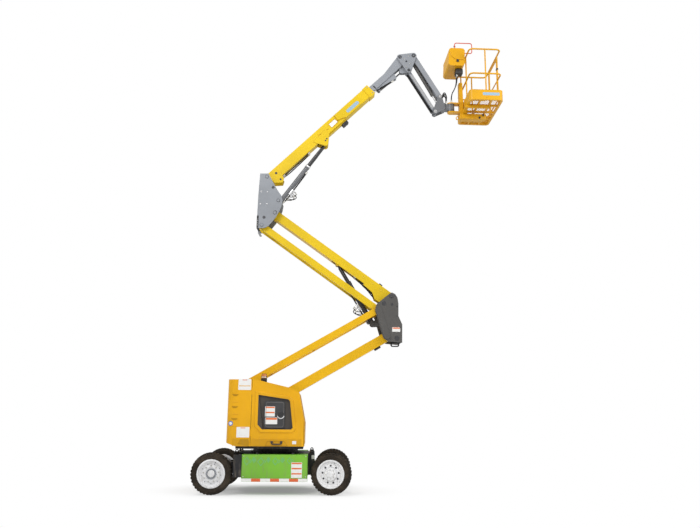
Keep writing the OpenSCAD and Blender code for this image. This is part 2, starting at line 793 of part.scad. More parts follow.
// Jib
module jib_arm() color(pale_grey) {
    at(j1, jib_angle)
        difference() {
            union() {
                for (s = [-1, 1])
                    translate([0, s * (jib_w / 2 - 6), 0]) {
                        translate([0, -6, -jib_h / 2]) cube([jib_l, 12, jib_h]);
                        for (x = [0, jib_l])
                            translate([x, 0, 0]) rotate([90, 0, 0]) cylinder(r = jib_h / 2, h = 12, center = true);
                    }
                translate([160, -jib_w / 2 + 4, jib_h / 2 - 8]) cube([jib_l - 320, jib_w - 8, 8]);
            }
            rotate([90, 0, 0]) cylinder(r = 24 + pin_gap, h = 400, center = true);
            translate([jib_l, 0, 0]) rotate([90, 0, 0]) cylinder(r = 20 + pin_gap, h = 400, center = true);
        }
}

module jib_link() color(pale_grey) {
    at(j2, jib_angle) {
        for (s = [-1, 1])
            difference() {
                union() {
                    translate([0, s * 50 - 7, -31]) cube([jib_l, 14, 62]);
                    for (x = [0, jib_l])
                        translate([x, s * 50, 0]) rotate([90, 0, 0]) cylinder(r = 38, h = 14, center = true);
                }
                for (x = [0, jib_l])
                    translate([x, 0, 0]) rotate([90, 0, 0]) cylinder(r = 20 + pin_gap, h = 400, center = true);
            }
        translate([90, -44, -31]) cube([jib_l - 180, 88, 8]);
        color(black) translate([40, 0, -52]) rotate([0, 90, 0]) cylinder(r = 22, h = jib_l - 60);
    }
}

jib_cyl_l = norm(jib_eye - jib_base);
jib_cyl_a = angle_of(jib_base, jib_eye);
module jib_cylinder() color(dark_grey) at(jib_base, jib_cyl_a) barrel(jib_cyl_r, 20, 900, 28, 60, 18);
module jib_rod() color(chrome) at(jib_base, jib_cyl_a) rod(19, 600, jib_cyl_l, 28, 60);

module jib_end() color(dark_grey) {
    difference() {
        slabs(jib_w / 2 + 6, jib_w / 2 + 18)
            hull() {
                translate(e1) circle(r = 40);
                translate(e2) circle(r = 44);
                translate(e2 + [150, 80]) circle(r = 50);
            }
        cross(e1, 20, 300);
        cross(e2, 20, 300);
    }
    cross(e1, 20, jib_w / 2 + 22);
    cross_pair(e2, 20, 41, jib_w / 2 + 22);
    // Lugs that hold the eye of the jib cylinder
    slabs(38, 50)
        hull() {
            translate(jib_eye) circle(r = 30);
            translate(e2 + [140, 115]) circle(r = 40);
        }
    // Block that holds the rotary drive
    translate([e2[0] + 128, -jib_w / 2 - 8, e2[1] + 40]) cube([72, jib_w + 16, 150]);
    color(black) translate([rotator_x, 0, e2[1] + 30]) cylinder(r = 74, h = 160);
    color(black) translate([e2[0] + 190, -50, e2[1] + 50]) cube([rotator_x - e2[0] - 200, 100, 120]);
}

// Platform
module platform_mount() color(yellow) {
    post_x = platform_x - platform_w / 2 - 90;
    post_h = 620;
    top_z = e2[1] + 190 + seat;
    low_z = e2[1] + 30 - seat;
    for (z = [top_z, low_z - 26])
        hull() {
            translate([rotator_x, 0, z]) cylinder(r = 70, h = 26);
            translate([post_x, -60, z]) cube([60, 120, 26]);
        }
    difference() {
        slab(-60, 60)
            polygon([[post_x, low_z - 26], [post_x + 20, platform_z - 60], [post_x + 160, platform_z - 60],
                [post_x + 160, platform_z - seat], [post_x + 84, platform_z - seat],
                [post_x + 70, platform_z + post_h], [post_x, platform_z + post_h]]);
        slab(-48, 48)
            polygon([[post_x + 12, low_z], [post_x + 30, platform_z - 48], [post_x + 150, platform_z - 48],
                [post_x + 150, platform_z - 12], [post_x + 72, platform_z - 12],
                [post_x + 58, platform_z + post_h - 12], [post_x + 12, platform_z + post_h - 12]]);
    }
    // Beams under the floor
    for (y = [-330, 330])
        translate([post_x + 60, y - 25, platform_z - 50]) cube([480, 50, 50 - seat]);
    translate([post_x + 60, -330, platform_z - 50]) cube([60, 660, 50 - seat]);
}

gate_l = 600;
gate_post_y = gate_l / 2 + 30;

module floor_plan(inset) {
    offset(r = 70 - inset) offset(delta = -70) square([platform_w, platform_l], center = true);
}

module platform_floor() color(yellow) translate([platform_x, 0, platform_z]) {
    difference() {
        linear_extrude(floor_frame_t) floor_plan(0);
        translate([0, 0, -cut]) linear_extrude(floor_frame_t + 2 * cut)
            difference() {
                floor_plan(45);
                for (x = [-110, 110])
                    translate([x - 15, -platform_l / 2]) square([30, platform_l]);
                for (y = [-300, 0, 300])
                    translate([-platform_w / 2, y - 15]) square([platform_w, 30]);
            }
    }
    difference() {
        linear_extrude(toe_h) floor_plan(0);
        translate([0, 0, -cut]) linear_extrude(toe_h + 2 * cut) floor_plan(4);
        translate([platform_w / 2 - 50, -gate_l / 2, floor_frame_t]) cube([100, gate_l, toe_h]);
    }
}

// Straight rail between two points
module rail(a, b, d = rail_d) {
    v = b - a;
    l = norm(v);
    translate(a) rotate([0, acos(v[2] / l), atan2(v[1], v[0])]) cylinder(d = d, h = l);
}

// Quarter bend of a rail about a centre, starting at an angle, in the XY plane
module bend(p, a, r, d = rail_d) {
    translate(p) rotate([0, 0, a]) rotate_extrude(angle = 90) translate([r, 0]) circle(d = d);
}

rail_x = platform_w / 2 - rail_d / 2 - 6;
rail_y = platform_l / 2 - rail_d / 2 - 6;
bend_r = 80;

// Rail round the platform with round corners; open leaves the gate side free
module rail_loop(z, open) {
    x = rail_x - bend_r;
    y = rail_y - bend_r;
    for (c = [[x, y, 0], [-x, y, 90], [-x, -y, 180], [x, -y, 270]])
        bend([c[0], c[1], z], c[2], bend_r);
    for (s = [-1, 1])
        rail([-x, s * rail_y, z], [x, s * rail_y, z]);
    rail([-rail_x, -y, z], [-rail_x, y, z]);
    if (open) {
        for (s = [-1, 1])
            rail([rail_x, s * y, z], [rail_x, s * gate_post_y, z]);
    } else
        rail([rail_x, -y, z], [rail_x, y, z]);
}

gate_bar_d = rail_d - 6;
lug_t = 8;

module platform_rails() color(amber) translate([platform_x, 0, platform_z]) {
    post_d = rail_d - 4;
    rail_loop(rail_h, false);
    rail_loop(rail_h * 0.52, true);
    for (s = [-1, 1]) {
        rail([0, s * rail_y, floor_frame_t], [0, s * rail_y, rail_h], post_d);
        rail([rail_x, s * gate_post_y, floor_frame_t], [rail_x, s * gate_post_y, rail_h], post_d);
        rail([-rail_x, s * 250, floor_frame_t], [-rail_x, s * 250, rail_h], post_d);
    }
    // Lugs above and below the hinge post of the gate
    for (z = [toe_h - 60 - gate_bar_d / 2 - seat - lug_t, rail_h - 60 + gate_bar_d / 2 + seat])
        translate([rail_x - 12, gate_l / 2 - 24, z]) cube([24, 54, lug_t]);
}

module platform_gate() color(amber) translate([platform_x, 0, platform_z]) {
    top = rail_h - 60;
    low = toe_h - 60;
    y = gate_l / 2 - 12;
    for (z = [top, rail_h * 0.52, low])
        rail([rail_x, -y, z], [rail_x, y, z], gate_bar_d - 2);
    for (s = [-1, 1])
        rail([rail_x, s * y, low - gate_bar_d / 2], [rail_x, s * y, top + gate_bar_d / 2], gate_bar_d);
}

console_x = rotator_x - 85;
console_z = platform_z + 875;
console_h = 385;
module console_outline(inset) {
    translate([console_x, console_z]) offset(r = 60 - inset) offset(delta = -60)
        polygon([[0, 0], [330, 0], [345, console_h], [20, console_h]]);
}

module control_console() color(amber) {
    difference() {
        slab(-300, 300) console_outline(0);
        slab(-292, 292) console_outline(8);
    }
    // Pads against the posts of the platform
    for (s = [-1, 1])
        translate([console_x + 325, s * 250 - 20, console_z + 85])
            cube([platform_x - rail_x - rail_d / 2 + 2 - seat - console_x - 325, 40, 100]);
}

module guard_bar() color(red) {
    d = 18;
    r = 40;
    x0 = console_x + 135;
    x1 = x0 + 350;
    top = console_z + 497;
    low = console_z + 275;
    translate([0, -296, 0]) rotate([90, 0, 0]) {
        rail([x0, console_z + console_h + seat, 0], [x0, top - r, 0], d);
        bend([x0 + r, top - r, 0], 90, r, d);
        rail([x0 + r, top, 0], [x1 - r, top, 0], d);
        bend([x1 - r, top - r, 0], 0, r, d);
        rail([x1, top - r, 0], [x1, low + r, 0], d);
        bend([x1 - r, low + r, 0], 270, r, d);
        rail([x1 - r, low, 0], [console_x + 341.5, low, 0], d);
    }
}

chassis_frame();
battery_boxes();
axle_front();
steer_knuckle(-1);  // steer_knuckle_left
steer_knuckle(1);  // steer_knuckle_right
tie_rod();
tyre(-axle_x, -1, 0);  // tyre_rear_left
tyre(-axle_x, 1, 0);  // tyre_rear_right
tyre(axle_x, -1, steer_rest);  // tyre_front_left
tyre(axle_x, 1, steer_rest);  // tyre_front_right
rim(-axle_x, -1, 0, 60, 0);  // rim_rear_left
rim(-axle_x, 1, 0, 60, 0);  // rim_rear_right
rim(axle_x, -1, steer_rest, 40, 24);  // rim_front_left
rim(axle_x, 1, steer_rest, 40, 24);  // rim_front_right
slew_ring();
turntable_frame();
counterweight();
hood(-1);  // hood_left
hood(1);  // hood_right
control_door();
beacon();
lower_arm();
lower_link();
riser_knuckle();
upper_arm();
upper_link();
riser_cylinder();
riser_rod();
upright();
boom_outer();
boom_fly();
lift_cylinder();
lift_rod();
jib_head();
level_cylinder();
level_rod();
jib_arm();
jib_link();
jib_cylinder();
jib_rod();
jib_end();
platform_mount();
platform_floor();
platform_rails();
platform_gate();
control_console();
guard_bar();
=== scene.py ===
"""Dresses the boom lift: paint, trim, hoses, fasteners and labels, and the studio that it stands in.

All lengths are in metres.
"""

import json
import math

import bmesh
import bpy
from mathutils import Matrix, Vector


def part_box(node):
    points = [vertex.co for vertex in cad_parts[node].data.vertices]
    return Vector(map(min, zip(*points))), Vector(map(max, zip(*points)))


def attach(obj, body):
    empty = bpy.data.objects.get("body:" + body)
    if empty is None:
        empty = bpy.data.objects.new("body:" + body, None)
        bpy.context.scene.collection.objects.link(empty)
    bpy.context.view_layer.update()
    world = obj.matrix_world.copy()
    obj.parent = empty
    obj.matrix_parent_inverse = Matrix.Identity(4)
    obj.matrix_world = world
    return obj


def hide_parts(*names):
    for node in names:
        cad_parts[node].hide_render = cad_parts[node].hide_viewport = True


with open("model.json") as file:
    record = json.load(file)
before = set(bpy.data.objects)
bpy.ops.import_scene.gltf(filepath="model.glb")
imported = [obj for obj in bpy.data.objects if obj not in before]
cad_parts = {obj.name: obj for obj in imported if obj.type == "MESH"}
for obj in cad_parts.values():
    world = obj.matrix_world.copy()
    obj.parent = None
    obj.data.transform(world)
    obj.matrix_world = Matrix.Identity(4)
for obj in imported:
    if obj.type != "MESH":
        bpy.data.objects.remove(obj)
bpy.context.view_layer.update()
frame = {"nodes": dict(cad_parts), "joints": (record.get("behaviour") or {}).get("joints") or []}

bl_info = {
    "name": "Articulating boom lift",
    "version": (1, 0, 0),
    "blender": (4, 5, 0),
    "location": "3D View > Sidebar > Boom lift",
    "description": "Paints and dresses an articulating boom lift and sets up its studio",
    "category": "Object",
}

# Pins of the machine at rest: turntable T, knuckle K, upright U, jib J and the jib's end E
PIN = {joint["name"]: Vector(joint["pos_m"]) for joint in frame["joints"] if "pos_m" in joint}
AXIS = {joint["name"]: Vector(joint["axis"]) for joint in frame["joints"]}
T1, T2 = PIN["riser_lift"], PIN["lower_link"]
K1, K2, K3 = PIN["knuckle"], PIN["upper_link"], PIN["upper_arm"]
U3 = PIN["upright"]
U4 = U3 + K2 - K3
BOOM, HEAD, TURN = PIN["boom_lift"], PIN["head_level"], PIN["platform_turn"]
LIFT_BASE, RISER_BASE = PIN["lift_cylinder"], PIN["riser_cylinder"]
J1, J2, E1 = PIN["jib_lift"], PIN["jib_link"], PIN["jib_end"]
E2 = E1 + J2 - J1
HERE = Matrix.Identity(4)


# ---------------------------------------------------------------- places and outlines


def at(x, y, z):
    """Place moved by X, Y and Z, without a turn."""
    return Matrix.Translation((x, y, z))


def spun(degrees, axis="Z"):
    """Place turned about one of its axes."""
    return Matrix.Rotation(math.radians(degrees), 4, axis)


def framed(origin, x, y, z):
    """Place at origin with its three axes given."""
    place = Matrix((x, y, z)).transposed().to_4x4()
    place.translation = origin
    return place


def axes(origin, x_axis, z_hint=(0, 0, 1)):
    """Place at origin with its X along x_axis and its Z as near as possible to z_hint."""
    x = Vector(x_axis).normalized()
    y = Vector(z_hint).cross(x).normalized()
    return framed(origin, x, y, x.cross(y))


def along(start, run):
    """Place in the middle plane with X along a run and Z to the left of it."""
    return axes(start, run, Vector((-run.z, 0, run.x)))


def facing(origin, normal, up=(0, 0, 1)):
    """Place whose Z is the normal of a surface and whose Y is as near as possible to up."""
    z = Vector(normal).normalized()
    x = Vector(up).cross(z).normalized()
    return framed(origin, x, z.cross(x), z)


def on_face(x, z, y, sign=-1):
    """Place on a face that looks to the near side, or to the far one where the sign is 1; its Y is up."""
    return facing(Vector((x, y, z)), (0, sign, 0))


def sides(y, *spots):
    """Places on the near and the far face, y off the middle, at the X and Z of each spot."""
    flat = [(spot.x, spot.z) if isinstance(spot, Vector) else spot for spot in spots]
    return [on_face(x, z, sign * y, sign) for x, z in flat for sign in (-1, 1)]


def moved(place, points):
    """Points of a place as points of the world."""
    return [place @ Vector(point) for point in points]


def ring_places(place, radius, count, start=0.0):
    """Places round a circle in the XY of a place."""
    for x, y, z in circle(radius, count, 0.0, math.radians(start)):
        yield place @ at(x, y, z)


def circle(radius, steps, height=0.0, start=0.0):
    """Points round a circle; start is its first angle in radians."""
    turns = [start + math.tau * i / steps for i in range(steps)]
    return [(radius * math.cos(a), radius * math.sin(a), height) for a in turns]


def smooth_path(points, steps=6):
    """Points of a smooth curve through the given ones."""
    knots = [Vector(p) for p in points]
    knots = [knots[0] * 2 - knots[1]] + knots + [knots[-1] * 2 - knots[-2]]
    path = []
    for a, b, c, d in zip(knots, knots[1:], knots[2:], knots[3:]):
        for i in range(steps):
            t = i / steps
            bend = (2 * a - 5 * b + 4 * c - d) * t * t + (3 * b - a - 3 * c + d) * t ** 3
            path.append(0.5 * (2 * b + (c - a) * t + bend))
    path.append(knots[-2])
    return path


def rounded(width, height, radius, steps=5):
    """Outline of a rectangle round the origin with round corners."""
    outline = []
    for corner, (sx, sy) in enumerate(((1, 1), (-1, 1), (-1, -1), (1, -1))):
        for i in range(steps + 1):
            a = math.radians(90 * corner + 90 * i / steps)
            outline.append((sx * (width / 2 - radius) + radius * math.cos(a),
                            sy * (height / 2 - radius) + radius * math.sin(a)))
    return outline


def stadium(half, radius, steps=10):
    """Outline of a slot with round ends; half is the distance from its middle to an end's centre."""
    turns = [math.pi * i / steps for i in range(steps + 1)]
    right = [(half + radius * math.sin(a), radius * math.cos(a)) for a in turns]
    return right + [(-x, -z) for x, z in right]


def doubled_area(outline):
    """Twice the area of an outline, negative where it runs clockwise."""
    return sum(a[0] * b[1] - b[0] * a[1] for a, b in zip(outline, outline[1:] + outline[:1]))


def grown(outline, by):
    """Convex outline moved outwards by a distance."""
    by = math.copysign(by, by * doubled_area(outline))
    lines = []
    for a, b in zip(outline, outline[1:] + outline[:1]):
        run = Vector((b[0] - a[0], b[1] - a[1])).normalized()
        lines.append((Vector(a) + by * Vector((run.y, -run.x)), run))
    moved = []
    for (a, u), (b, v) in zip(lines[-1:] + lines[:-1], lines):
        t = ((b.x - a.x) * v.y - (b.y - a.y) * v.x) / (u.x * v.y - u.y * v.x)
        moved.append((a.x + u.x * t, a.y + u.y * t))
    return moved


# ---------------------------------------------------------------- shapes


class Shape:
    """Collects the faces of one piece; each form is added in a place of its own."""

    def __init__(self):
        self.mesh = bmesh.new()

    def _placed(self, verts, place, bevel=0, segments=2):
        bmesh.ops.transform(self.mesh, matrix=place, verts=verts)
        if bevel > 0:
            edges = list(dict.fromkeys(edge for vert in verts for edge in vert.link_edges))
            bmesh.ops.bevel(self.mesh, geom=edges, offset=bevel, segments=segments, affect="EDGES",
                            profile=0.5, clamp_overlap=True)
        return self

    def _skin(self, loops, place, ring):
        """Faces between loops of points; a ring joins its last loop to the first, else both ends close."""
        rings = [[self.mesh.verts.new(point) for point in loop] for loop in loops]
        steps = max(map(len, rings))
        row = rings + rings[:1] if ring else rings
        for low, top in zip(row, row[1:]):
            for i in range(steps):
                j = (i + 1) % steps
                quad = (low[i % len(low)], low[j % len(low)], top[j % len(top)], top[i % len(top)])
                corners = list(dict.fromkeys(quad))
                if len(corners) > 2:
                    self.mesh.faces.new(corners)
        for end, turn in ((rings[0], -1), (rings[-1], 1)):
            if not ring and len(end) > 1:
                self.mesh.faces.new(end[::turn])
        return self._placed([vert for loop in rings for vert in loop], place)

    def box(self, low, high, place=HERE, bevel=0.002, segments=2):
        """Block between two corners with rounded edges."""
        low, high = Vector(low), Vector(high)
        made = bmesh.ops.create_cube(self.mesh, size=1.0)["verts"]
        bmesh.ops.scale(self.mesh, vec=high - low, verts=made)
        bmesh.ops.translate(self.mesh, vec=(low + high) / 2, verts=made)
        return self._placed(made, place, bevel, segments)

    def plate(self, outline, low, high, place=HERE, bevel=0.0015, segments=2):
        """Plate with an outline in the place's XY and its thickness from low to high along Z."""
        if doubled_area(outline) < 0:
            outline = outline[::-1]
        base, top = ([self.mesh.verts.new((x, y, z)) for x, y in outline] for z in (low, high))
        self.mesh.faces.new(base[::-1])
        self.mesh.faces.new(top)
        for i in range(len(outline)):
            j = (i + 1) % len(outline)
            self.mesh.faces.new((base[i], base[j], top[j], top[i]))
        return self._placed(base + top, place, bevel, segments)

    def turned(self, profile, place=HERE, steps=24, ring=False):
        """Body turned round the place's Z; profile lists radius and height; a ring has an open middle."""
        loops = [circle(r, steps, height) if r else [(0, 0, height)] for r, height in profile]
        return self._skin(loops, place, ring)

    def lofted(self, loops, place=HERE, ring=False):
        """Skin over loops of points in space; a ring joins the last loop to the first."""
        return self._skin(loops, place, ring)

    def hoop(self, outer, inner, low, high, place=HERE):
        """Flat band between two outlines, from a low to a high height."""
        lines = ((outer, low), (outer, high), (inner, high), (inner, low))
        return self._skin([[(x, y, z) for x, y in line] for line, z in lines], place, True)

    def tube(self, points, radius, sides=10, place=HERE):
        """Round tube along a path."""
        points = [Vector(p) for p in points]
        side = (points[1] - points[0]).normalized().orthogonal().normalized()
        loops = []
        for i, point in enumerate(points):
            ahead = (points[min(i + 1, len(points) - 1)] - points[max(i - 1, 0)]).normalized()
            side = (side - ahead * side.dot(ahead)).normalized()
            other = ahead.cross(side)
            loops.append([point + radius * (x * side + y * other) for x, y, _ in circle(1.0, sides)])
        return self._skin(loops, place, False)

    def bolt(self, place, size, head):
        """Hexagon bolt head on a washer; the place's Z points out of the surface."""
        self.turned([(size * 1.25, 0), (size * 1.25, size * 0.15), (size * 1.15, size * 0.22)], place, 16)
        low = size * 0.2
        return self.turned([(size, low), (size, low + head * 0.8), (size * 0.82, low + head)], place, 6)

    def disc_pin(self, place, radius, height, dish):
        """End of a pin with a chamfer and a shallow dish."""
        rim = radius * 0.86
        profile = [(radius, 0), (radius, height - (radius - rim)), (rim, height), (radius * 0.55, height),
                   (radius * 0.5, height - dish), (0, height - dish)]
        return self.turned(profile, place, 32)

    def done(self, name, body, finish, smooth=32.0):
        """Makes the piece, paints it and lets it ride on its body."""
        mesh = bpy.data.meshes.new(name)
        bmesh.ops.remove_doubles(self.mesh, verts=self.mesh.verts, dist=1e-6)
        bmesh.ops.recalc_face_normals(self.mesh, faces=self.mesh.faces)
        self.mesh.to_mesh(mesh)
        self.mesh.free()
        mesh.shade_smooth()
        mesh.set_sharp_from_angle(angle=math.radians(smooth))
        piece = bpy.data.objects.new(name, mesh)
        bpy.context.scene.collection.objects.link(piece)
        mesh.materials.append(material_of(finish))
        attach(piece, body)
        return piece


# ---------------------------------------------------------------- finishes


class Nodes:
    """Small helper that adds and links shader nodes of one material."""

    def __init__(self, name):
        self.material = bpy.data.materials.new(name)
        self.material.use_nodes = True
        self.tree = self.material.node_tree
        self.shader = self.tree.nodes["Principled BSDF"]
        self.where = self.add("ShaderNodeTexCoord").outputs["Object"]

    def add(self, kind, **settings):
        node = self.tree.nodes.new(kind)
        for key, value in settings.items():
            if hasattr(node, key):
                setattr(node, key, value)
            else:
                node.inputs[key.replace("_", " ")].default_value = value
        return node

    def link(self, source, target):
        self.tree.links.new(source, target)

    def fill(self, node, *pairs):
        """Links or sets each socket of a node to its value."""
        for socket, value in pairs:
            if isinstance(value, bpy.types.NodeSocket):
                self.link(value, node.inputs[socket])
            else:
                node.inputs[socket].default_value = value
        return node

    def set(self, **values):
        """Values and links of the material's main shader."""
        self.fill(self.shader, *((key.replace("_", " "), value) for key, value in values.items()))

    def noise(self, scale, detail, rough, stretch=None):
        where = self.where
        if stretch:
            mapping = self.fill(self.add("ShaderNodeMapping"), ("Scale", stretch), ("Vector", where))
            where = mapping.outputs["Vector"]
        node = self.add("ShaderNodeTexNoise", Scale=scale, Detail=detail, Roughness=rough)
        return self.fill(node, ("Vector", where)).outputs["Fac"]

    def ramp(self, source, low, high, to_low=0.0, to_high=1.0):
        node = self.add("ShaderNodeMapRange", From_Min=low, From_Max=high, To_Min=to_low, To_Max=to_high)
        node.interpolation_type = "SMOOTHSTEP"
        return self.fill(node, ("Value", source)).outputs["Result"]

    def mix(self, factor, first, second):
        node = self.fill(self.add("ShaderNodeMix", data_type="RGBA"), (0, factor))
        first, second = ((*value, 1.0) if isinstance(value, tuple) else value for value in (first, second))
        return self.fill(node, (6, first), (7, second)).outputs[2]

    def math(self, operation, first, second):
        node = self.add("ShaderNodeMath", operation=operation)
        return self.fill(node, (0, first), (1, second)).outputs[0]

    def bump(self, height, strength, distance, under=None):
        node = self.add("ShaderNodeBump", Strength=strength, Distance=distance)
        self.link(height, node.inputs["Height"])
        if under:
            self.link(under, node.inputs["Normal"])
        return node.outputs["Normal"]

    def edges(self, radius):
        """1 along convex and concave edges, 0 on open faces, and the rounded normal."""
        bevel = self.add("ShaderNodeBevel", samples=4, Radius=radius)
        flat = self.add("ShaderNodeNewGeometry").outputs["Normal"]
        dot = self.add("ShaderNodeVectorMath", operation="DOT_PRODUCT")
        self.fill(dot, (0, bevel.outputs["Normal"]), (1, flat))
        return self.ramp(dot.outputs["Value"], 0.985, 0.90), bevel.outputs["Normal"]


def tinted(colour, factor):
    return tuple(min(1.0, channel * factor) for channel in colour[:3])


def paint(name, colour, rough, dust, wear_and_highlight=0.35):
    """Sprayed paint: slight fading, dust that gathers low and in patches, paler worn edges that also serve
    as a painted edge highlight, and orange peel.
    """
    make = Nodes(name)
    patch = make.noise(1.3, 4.0, 0.6)
    fine = make.noise(38.0, 5.0, 0.65)
    grain = make.noise(420.0, 2.0, 0.5)
    streak = make.noise(9.0, 4.0, 0.6, (3.0, 3.0, 0.35))
    edge_mask, round_normal = make.edges(0.0025)
    body = make.mix(make.ramp(patch, 0.35, 0.68), tinted(colour, 0.93), tinted(colour, 1.05))
    height = make.fill(make.add("ShaderNodeSeparateXYZ"), (0, make.where))
    low = make.ramp(height.outputs["Z"], 1.15, 0.2, 0.12, 1.0)
    dirt = make.math("MULTIPLY", make.math("MULTIPLY", make.ramp(streak, 0.46, 0.78), low), dust)
    body = make.mix(dirt, body, (0.24, 0.20, 0.15))
    # Paler grey along edges: worn paint, and in part a painted edge highlight
    edge_flecks_and_highlight = make.math("MULTIPLY", make.math("MULTIPLY", edge_mask, make.ramp(fine, 0.52, 0.66)), wear_and_highlight)
    body = make.mix(edge_flecks_and_highlight, body, (0.42, 0.40, 0.37))
    roughness = make.ramp(fine, 0.3, 0.7, rough - 0.05, rough + 0.08)
    roughness = make.math("ADD", roughness, make.math("MULTIPLY", dirt, 0.5))
    normal = make.bump(patch, 0.10, 0.003, make.bump(grain, 0.06, 0.0004, round_normal))
    make.set(Base_Color=body, Roughness=roughness, Normal=normal, Specular_IOR_Level=0.22, Coat_Weight=0.04,
             Coat_Roughness=0.15)
    return make.material


def rubber(name, colour, grain, dust):
    """Moulded rubber with dust in patches and a fine grain."""
    make = Nodes(name)
    patch = make.noise(5.0, 5.0, 0.62)
    fine = make.noise(grain, 3.0, 0.6)
    make.set(Base_Color=make.mix(make.ramp(patch, 0.42, 0.72), colour, dust),
             Roughness=make.ramp(fine, 0.3, 0.7, 0.70, 0.88), Normal=make.bump(fine, 0.35, 0.0012),
             Specular_IOR_Level=0.22)
    return make.material


def metal(name, colour, rough):
    """Bare metal with a turned grain and small stains."""
    make = Nodes(name)
    grain = make.noise(300.0, 3.0, 0.6)
    stain = make.noise(18.0, 4.0, 0.6)
    make.set(Base_Color=make.mix(make.ramp(stain, 0.5, 0.8), colour, tinted(colour, 0.72)), Metallic=1.0,
             Roughness=make.ramp(grain, 0.3, 0.7, rough - 0.06, rough + 0.1),
             Normal=make.bump(grain, 0.05, 0.0004))
    return make.material


def plastic(name, colour, rough=0.5, peel=0.12):
    """Moulded plastic with a fine texture and faint scuffs."""
    make = Nodes(name)
    patch = make.noise(6.0, 4.0, 0.6)
    grain = make.noise(520.0, 2.0, 0.5)
    scuff = make.noise(30.0, 6.0, 0.7, (1.0, 1.0, 4.0))
    body = make.mix(make.ramp(patch, 0.35, 0.7), tinted(colour, 0.92), tinted(colour, 1.08))
    body = make.mix(make.ramp(scuff, 0.66, 0.85, 0.0, 0.25), body, tinted(colour, 1.9))
    make.set(Base_Color=body, Roughness=make.ramp(scuff, 0.3, 0.8, rough - 0.06, rough + 0.14),
             Normal=make.bump(grain, peel, 0.0005, make.edges(0.0015)[1]))
    return make.material


def sticker(name, colour, rough=0.42):
    """Printed vinyl with a slightly dirty surface."""
    make = Nodes(name)
    patch = make.noise(24.0, 5.0, 0.65)
    make.set(Base_Color=make.mix(make.ramp(patch, 0.45, 0.8, 0.0, 0.30), colour, tinted(colour, 0.72)),
             Roughness=make.ramp(patch, 0.3, 0.7, rough - 0.05, rough + 0.1),
             Normal=make.bump(patch, 0.08, 0.0006))
    return make.material


def lens(name, colour):
    """Tinted moulded lens with ribs."""
    make = Nodes(name)
    wave = make.add("ShaderNodeTexWave", wave_type="BANDS", bands_direction="Z", Scale=60.0)
    make.link(make.where, wave.inputs["Vector"])
    patch = make.noise(14.0, 3.0, 0.5)
    make.set(Base_Color=make.mix(make.ramp(patch, 0.3, 0.7), tinted(colour, 0.85), tinted(colour, 1.1)),
             Normal=make.bump(wave.outputs["Fac"], 0.35, 0.0015),
             Roughness=make.ramp(patch, 0.3, 0.7, 0.10, 0.2), Transmission_Weight=0.25, Coat_Weight=0.5)
    return make.material


# Maker, material's name, colour or the setting that holds it with a tint, and the maker's other values
FINISH = {
    "yellow": (paint, "boom_yellow_paint", ("yellow", 1), 0.34, 0.20),
    "amber": (paint, "cover_amber_paint", ("amber", 1), 0.36, 0.30),
    "yellow_low": (paint, "riser_yellow_paint", ("yellow_low", 1), 0.36, 0.25),
    "basket": (paint, "platform_amber_paint", ("basket", 1), 0.36, 0.20),
    # Cover amber darkened as painted shade for the skirt, which faces slightly down
    "amber_skirt_shade": (paint, "skirt_amber_paint", ("amber", 0.84), 0.38, 0.35),
    # Cover amber darkened as painted shade, for scoops, folds, pressed rims and lines where shade falls
    "amber_shade": (paint, "scoop_orange_paint", ("amber", 0.62), 0.42, 0.3),
    "green": (paint, "panel_green_paint", ("green", 1), 0.34, 0.45),
    "grey": (paint, "arm_grey_paint", ("grey", 1), 0.40, 0.25),
    "slate": (paint, "knuckle_slate_paint", ("slate", 1), 0.44, 0.35),
    "barrel": (paint, "barrel_grey_paint", (0.16, 0.165, 0.175), 0.34, 0.3),
    "barrel_dark": (paint, "barrel_black_paint", (0.040, 0.041, 0.044), 0.36, 0.3),
    "black": (paint, "frame_black_paint", ("black", 1), 0.46, 0.55, 0.5),
    "silver": (paint, "rim_silver_paint", ("silver", 1), 0.34, 0.35),
    "red": (paint, "guard_red_paint", ("red", 1), 0.40, 0.2),
    "tyre": (rubber, "tyre_rubber", (0.021, 0.016, 0.011), 160.0, (0.055, 0.041, 0.028)),
    "hose": (rubber, "hose_rubber", (0.014, 0.014, 0.015), 320.0, (0.030, 0.029, 0.027)),
    "rod": (metal, "rod_plating", (0.05, 0.052, 0.056), 0.26),
    "bright": (metal, "bright_plating", (0.72, 0.72, 0.72), 0.30),
    "zinc": (metal, "zinc_fastener", (0.55, 0.54, 0.50), 0.38),
    "dark_metal": (metal, "dark_fastener", (0.10, 0.10, 0.105), 0.45),
    "sleeve": (plastic, "rod_sleeve_black", (0.020, 0.020, 0.022), 0.34, 0.05),
    "char": (plastic, "recess_charcoal", (0.055, 0.046, 0.038), 0.55),
    # Grey four times lighter than the door, painted as the highlight along the door's rib
    "gloss": (plastic, "door_gloss", (0.16, 0.15, 0.14), 0.22, 0.03),
    "plastic": (plastic, "black_plastic", (0.028, 0.028, 0.030)),
    "door": (plastic, "door_plastic", (0.040, 0.040, 0.043), 0.42),
    "white": (sticker, "label_white", (0.80, 0.80, 0.78)),
    "header": (sticker, "label_orange", (0.75, 0.16, 0.03)),
    "strip_red": (sticker, "strip_red", (0.70, 0.13, 0.035), 0.3),
    "pale_blue": (sticker, "band_pale_blue", (0.30, 0.44, 0.56), 0.36),
    "teal": (sticker, "ring_teal", (0.10, 0.42, 0.30), 0.36),
    "blue": (sticker, "disc_blue", (0.03, 0.16, 0.55), 0.36),
    "lens": (lens, "beacon_lens", (0.95, 0.30, 0.03)),
}
MADE = {}


def material_of(finish):
    """Material of a finish, made once."""
    if finish not in MADE:
        maker, name, colour, *values = FINISH[finish]
        if isinstance(colour[0], str):
            setting, tint = colour
            colour = getattr(bpy.context.scene.lift_colours, setting)
            if tint != 1:
                colour = tinted(colour, tint)
        MADE[finish] = maker(name, colour, *values)
    return MADE[finish]


